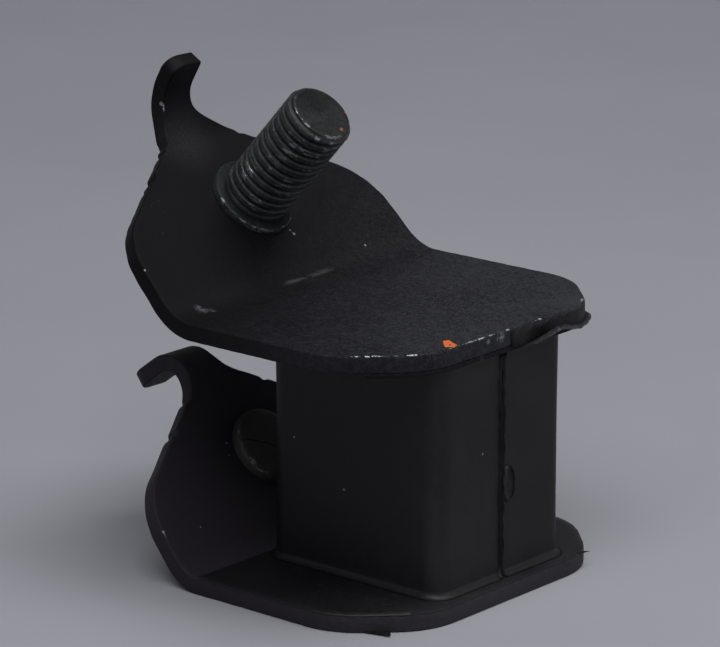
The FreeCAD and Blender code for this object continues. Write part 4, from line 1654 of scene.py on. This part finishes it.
def build_plates(upper: BentPlate, lower: BentPlate) -> None:
    """Builds and paints both plates.

    Args:
        upper: the upper pressing.
        lower: the lower pressing.
    """
    upper.build(BlackPaint(
        "black_paint_upper", seat=upper.top,
        # Lighter patches: painted light on the hook's lit base, then two that lighten the nose's
        # far corner.
        lighter_patches=(((-48.5, -2.5, 68.5), 9.5, 0.70), ((18.8, 22.0, 44.5), 9.0, 0.5),
                ((18.0, 24.0, 45.2), 14.0, 0.25)),
        scuffs=(((-26.1, -24.2, 45.3), 2.6, 0.15), ((-24.9, -22.6, 45.2), 1.3, 0.13),
                ((18.8, -1.6, 44.3), 1.7, 0.35), ((18.8, -4.8, 44.3), 0.8, 0.35)),
        specks=(((-33.4, 6.6, 52.0), 0.4), ((-32.8, 6.9, 51.4), 0.55), ((-28.5, 20.5, 47.4), 0.45),
                ((-34.7, -29.5, 53.1), 0.4), ((-33.7, -29.1, 52.1), 0.35),
                ((-26.3, -20.8, 45.4), 0.35), ((-26.2, 18.0, 45.3), 0.35),
                ((-52.1, -5.1, 73.2), 0.7), ((-51.2, -5.1, 72.1), 0.5), ((-50.1, -5.1, 80.5), 0.5),
                ((-48.3, -5.1, 79.9), 0.4)),
        # The streak along the upper crease is partly a scuff and partly a painted highlight along
        # the bend.
        streaks=(((-26.0, -4.5, 45.45), (-26.4, 10.8, 45.55), 0.9),),
        flecks=(((14.7, -10.7, 45.2), (17.9, -14.1, 45.2), 0.62),
                ((14.7, -10.7, 45.2), (18.5, -12.6, 45.2), 0.62),
                ((17.5, -13.3, 45.2), (18.5, -12.8, 45.2), 0.75))))
    # The lower plate has the same black paint; its lighter base and dust colours are painted light
    # that makes up for the shade under the upper plate.
    lower.build(BlackPaint(
        "black_paint_lower_brightened", base=(0.0215, 0.0185, 0.0240), dust_and_sheen_colour=(0.0400, 0.0375, 0.0430),
        specks=(((-34.7, -8.5, 17.4), 0.35), ((-33.3, -9.5, 15.8), 0.25),
                ((-26.7, -23.9, 8.1), 0.3), ((-27.6, -32.0, 9.1), 0.5)),
        streaks=(((-27.8, -32.6, 9.7), (-25.0, -32.6, 7.2), 0.5),
                 ((-25.0, -32.6, 7.2), (-21.8, -32.6, 3.3), 0.35))))


def build_studs(upper: BentPlate, lower: BentPlate) -> None:
    """Builds and coats the stud on each plate's flange.

    Args:
        upper: the upper pressing.
        lower: the lower pressing.
    """
    foot = upper.on_flange(17.6, across=3.1)
    RivetedStud("upper_stud", foot, upper.angle, length=23.5, facing=1.0).build(PhosphatedSteel(
        "phosphate_upper", lean=upper.angle,
        flecks=(((-20.3, 4.8, 71.75), 0.62), ((-22.4, 8.3, 73.75), 0.45))))
    foot = lower.on_flange(16.1, across=lower.sideways, depth=lower.thickness)
    RivetedStud("lower_stud", foot, lower.angle, length=13.8, facing=-1.0).build(PhosphatedSteel(
        "phosphate_lower", lean=lower.angle, dark=(0.038, 0.0365, 0.0345),
        light=(0.062, 0.0595, 0.0560),
        cracks=(((-32.7, -6.4, 18.1), (-31.8, -3.4, 17.1), 0.22),
                ((-31.9, -3.9, 17.3), (-31.2, -1.6, 16.35), 0.18),
                ((-31.3, -2.0, 16.5), (-30.6, -0.3, 15.7), 0.22))))


def build_rubber(upper: BentPlate, lower: BentPlate) -> None:
    """Builds the rubber between the plates, its skins over them and its flash.

    Args:
        upper: the upper pressing.
        lower: the lower pressing.
    """
    plain = MouldedRubber("moulded_rubber", specks=(
        (18.25, -5.2, 25.4), (-1.7, -16.55, 18.0), (-12.5, -16.55, 24.8)))
    rubber = RubberMoulding()
    rubber.build_column(plain)
    rubber.build_seam(MouldedRubber("seam_rubber"))
    rubber.build_gate(MouldedRubber("gate_rubber"))
    # The upper skin is darkened all over: painted shade under the upper plate's nose.
    SkinSheet("upper_skin", upper, thickness=0.8, level=41.5, back=11.2, ragged=0.06, seed=31,
              dark=0.55).build(MouldedRubber("upper_skin_rubber"))
    flash = NoseFlash(upper)
    flash.build_wash(MouldedRubber("wash_rubber"))
    flash.build_flap(MouldedRubber("torn_rubber", torn=True))
    Burr("front_burr", root=((13.1, -29.0, 0.25), (16.1, -25.9, 0.25)),
         tip=(17.7, -27.8, 0.25)).build(plain)
    Burr("corner_burr", root=((19.0, 19.6, 2.6), (20.0, 16.6, 2.6)),
         tip=(20.95, 20.4, 2.7), thickness=0.5).build(plain)
    SkinSheet("lower_skin", lower, thickness=0.3, level=2.9, back=-19.5, ragged=0.05, seed=32,
              droop=0.28).build(MouldedRubber("skin_rubber"))


def main() -> None:
    """Builds the mount piece by piece, then the studio."""
    logging.basicConfig(level=logging.INFO, format="%(name)s: %(message)s")
    bpy.context.scene.view_settings.view_transform = "Standard"
    plates = upper_plate(), lower_plate()
    build_plates(*plates)
    build_studs(*plates)
    build_rubber(*plates)
    Studio().build()


if __name__ == "__main__":
    main()
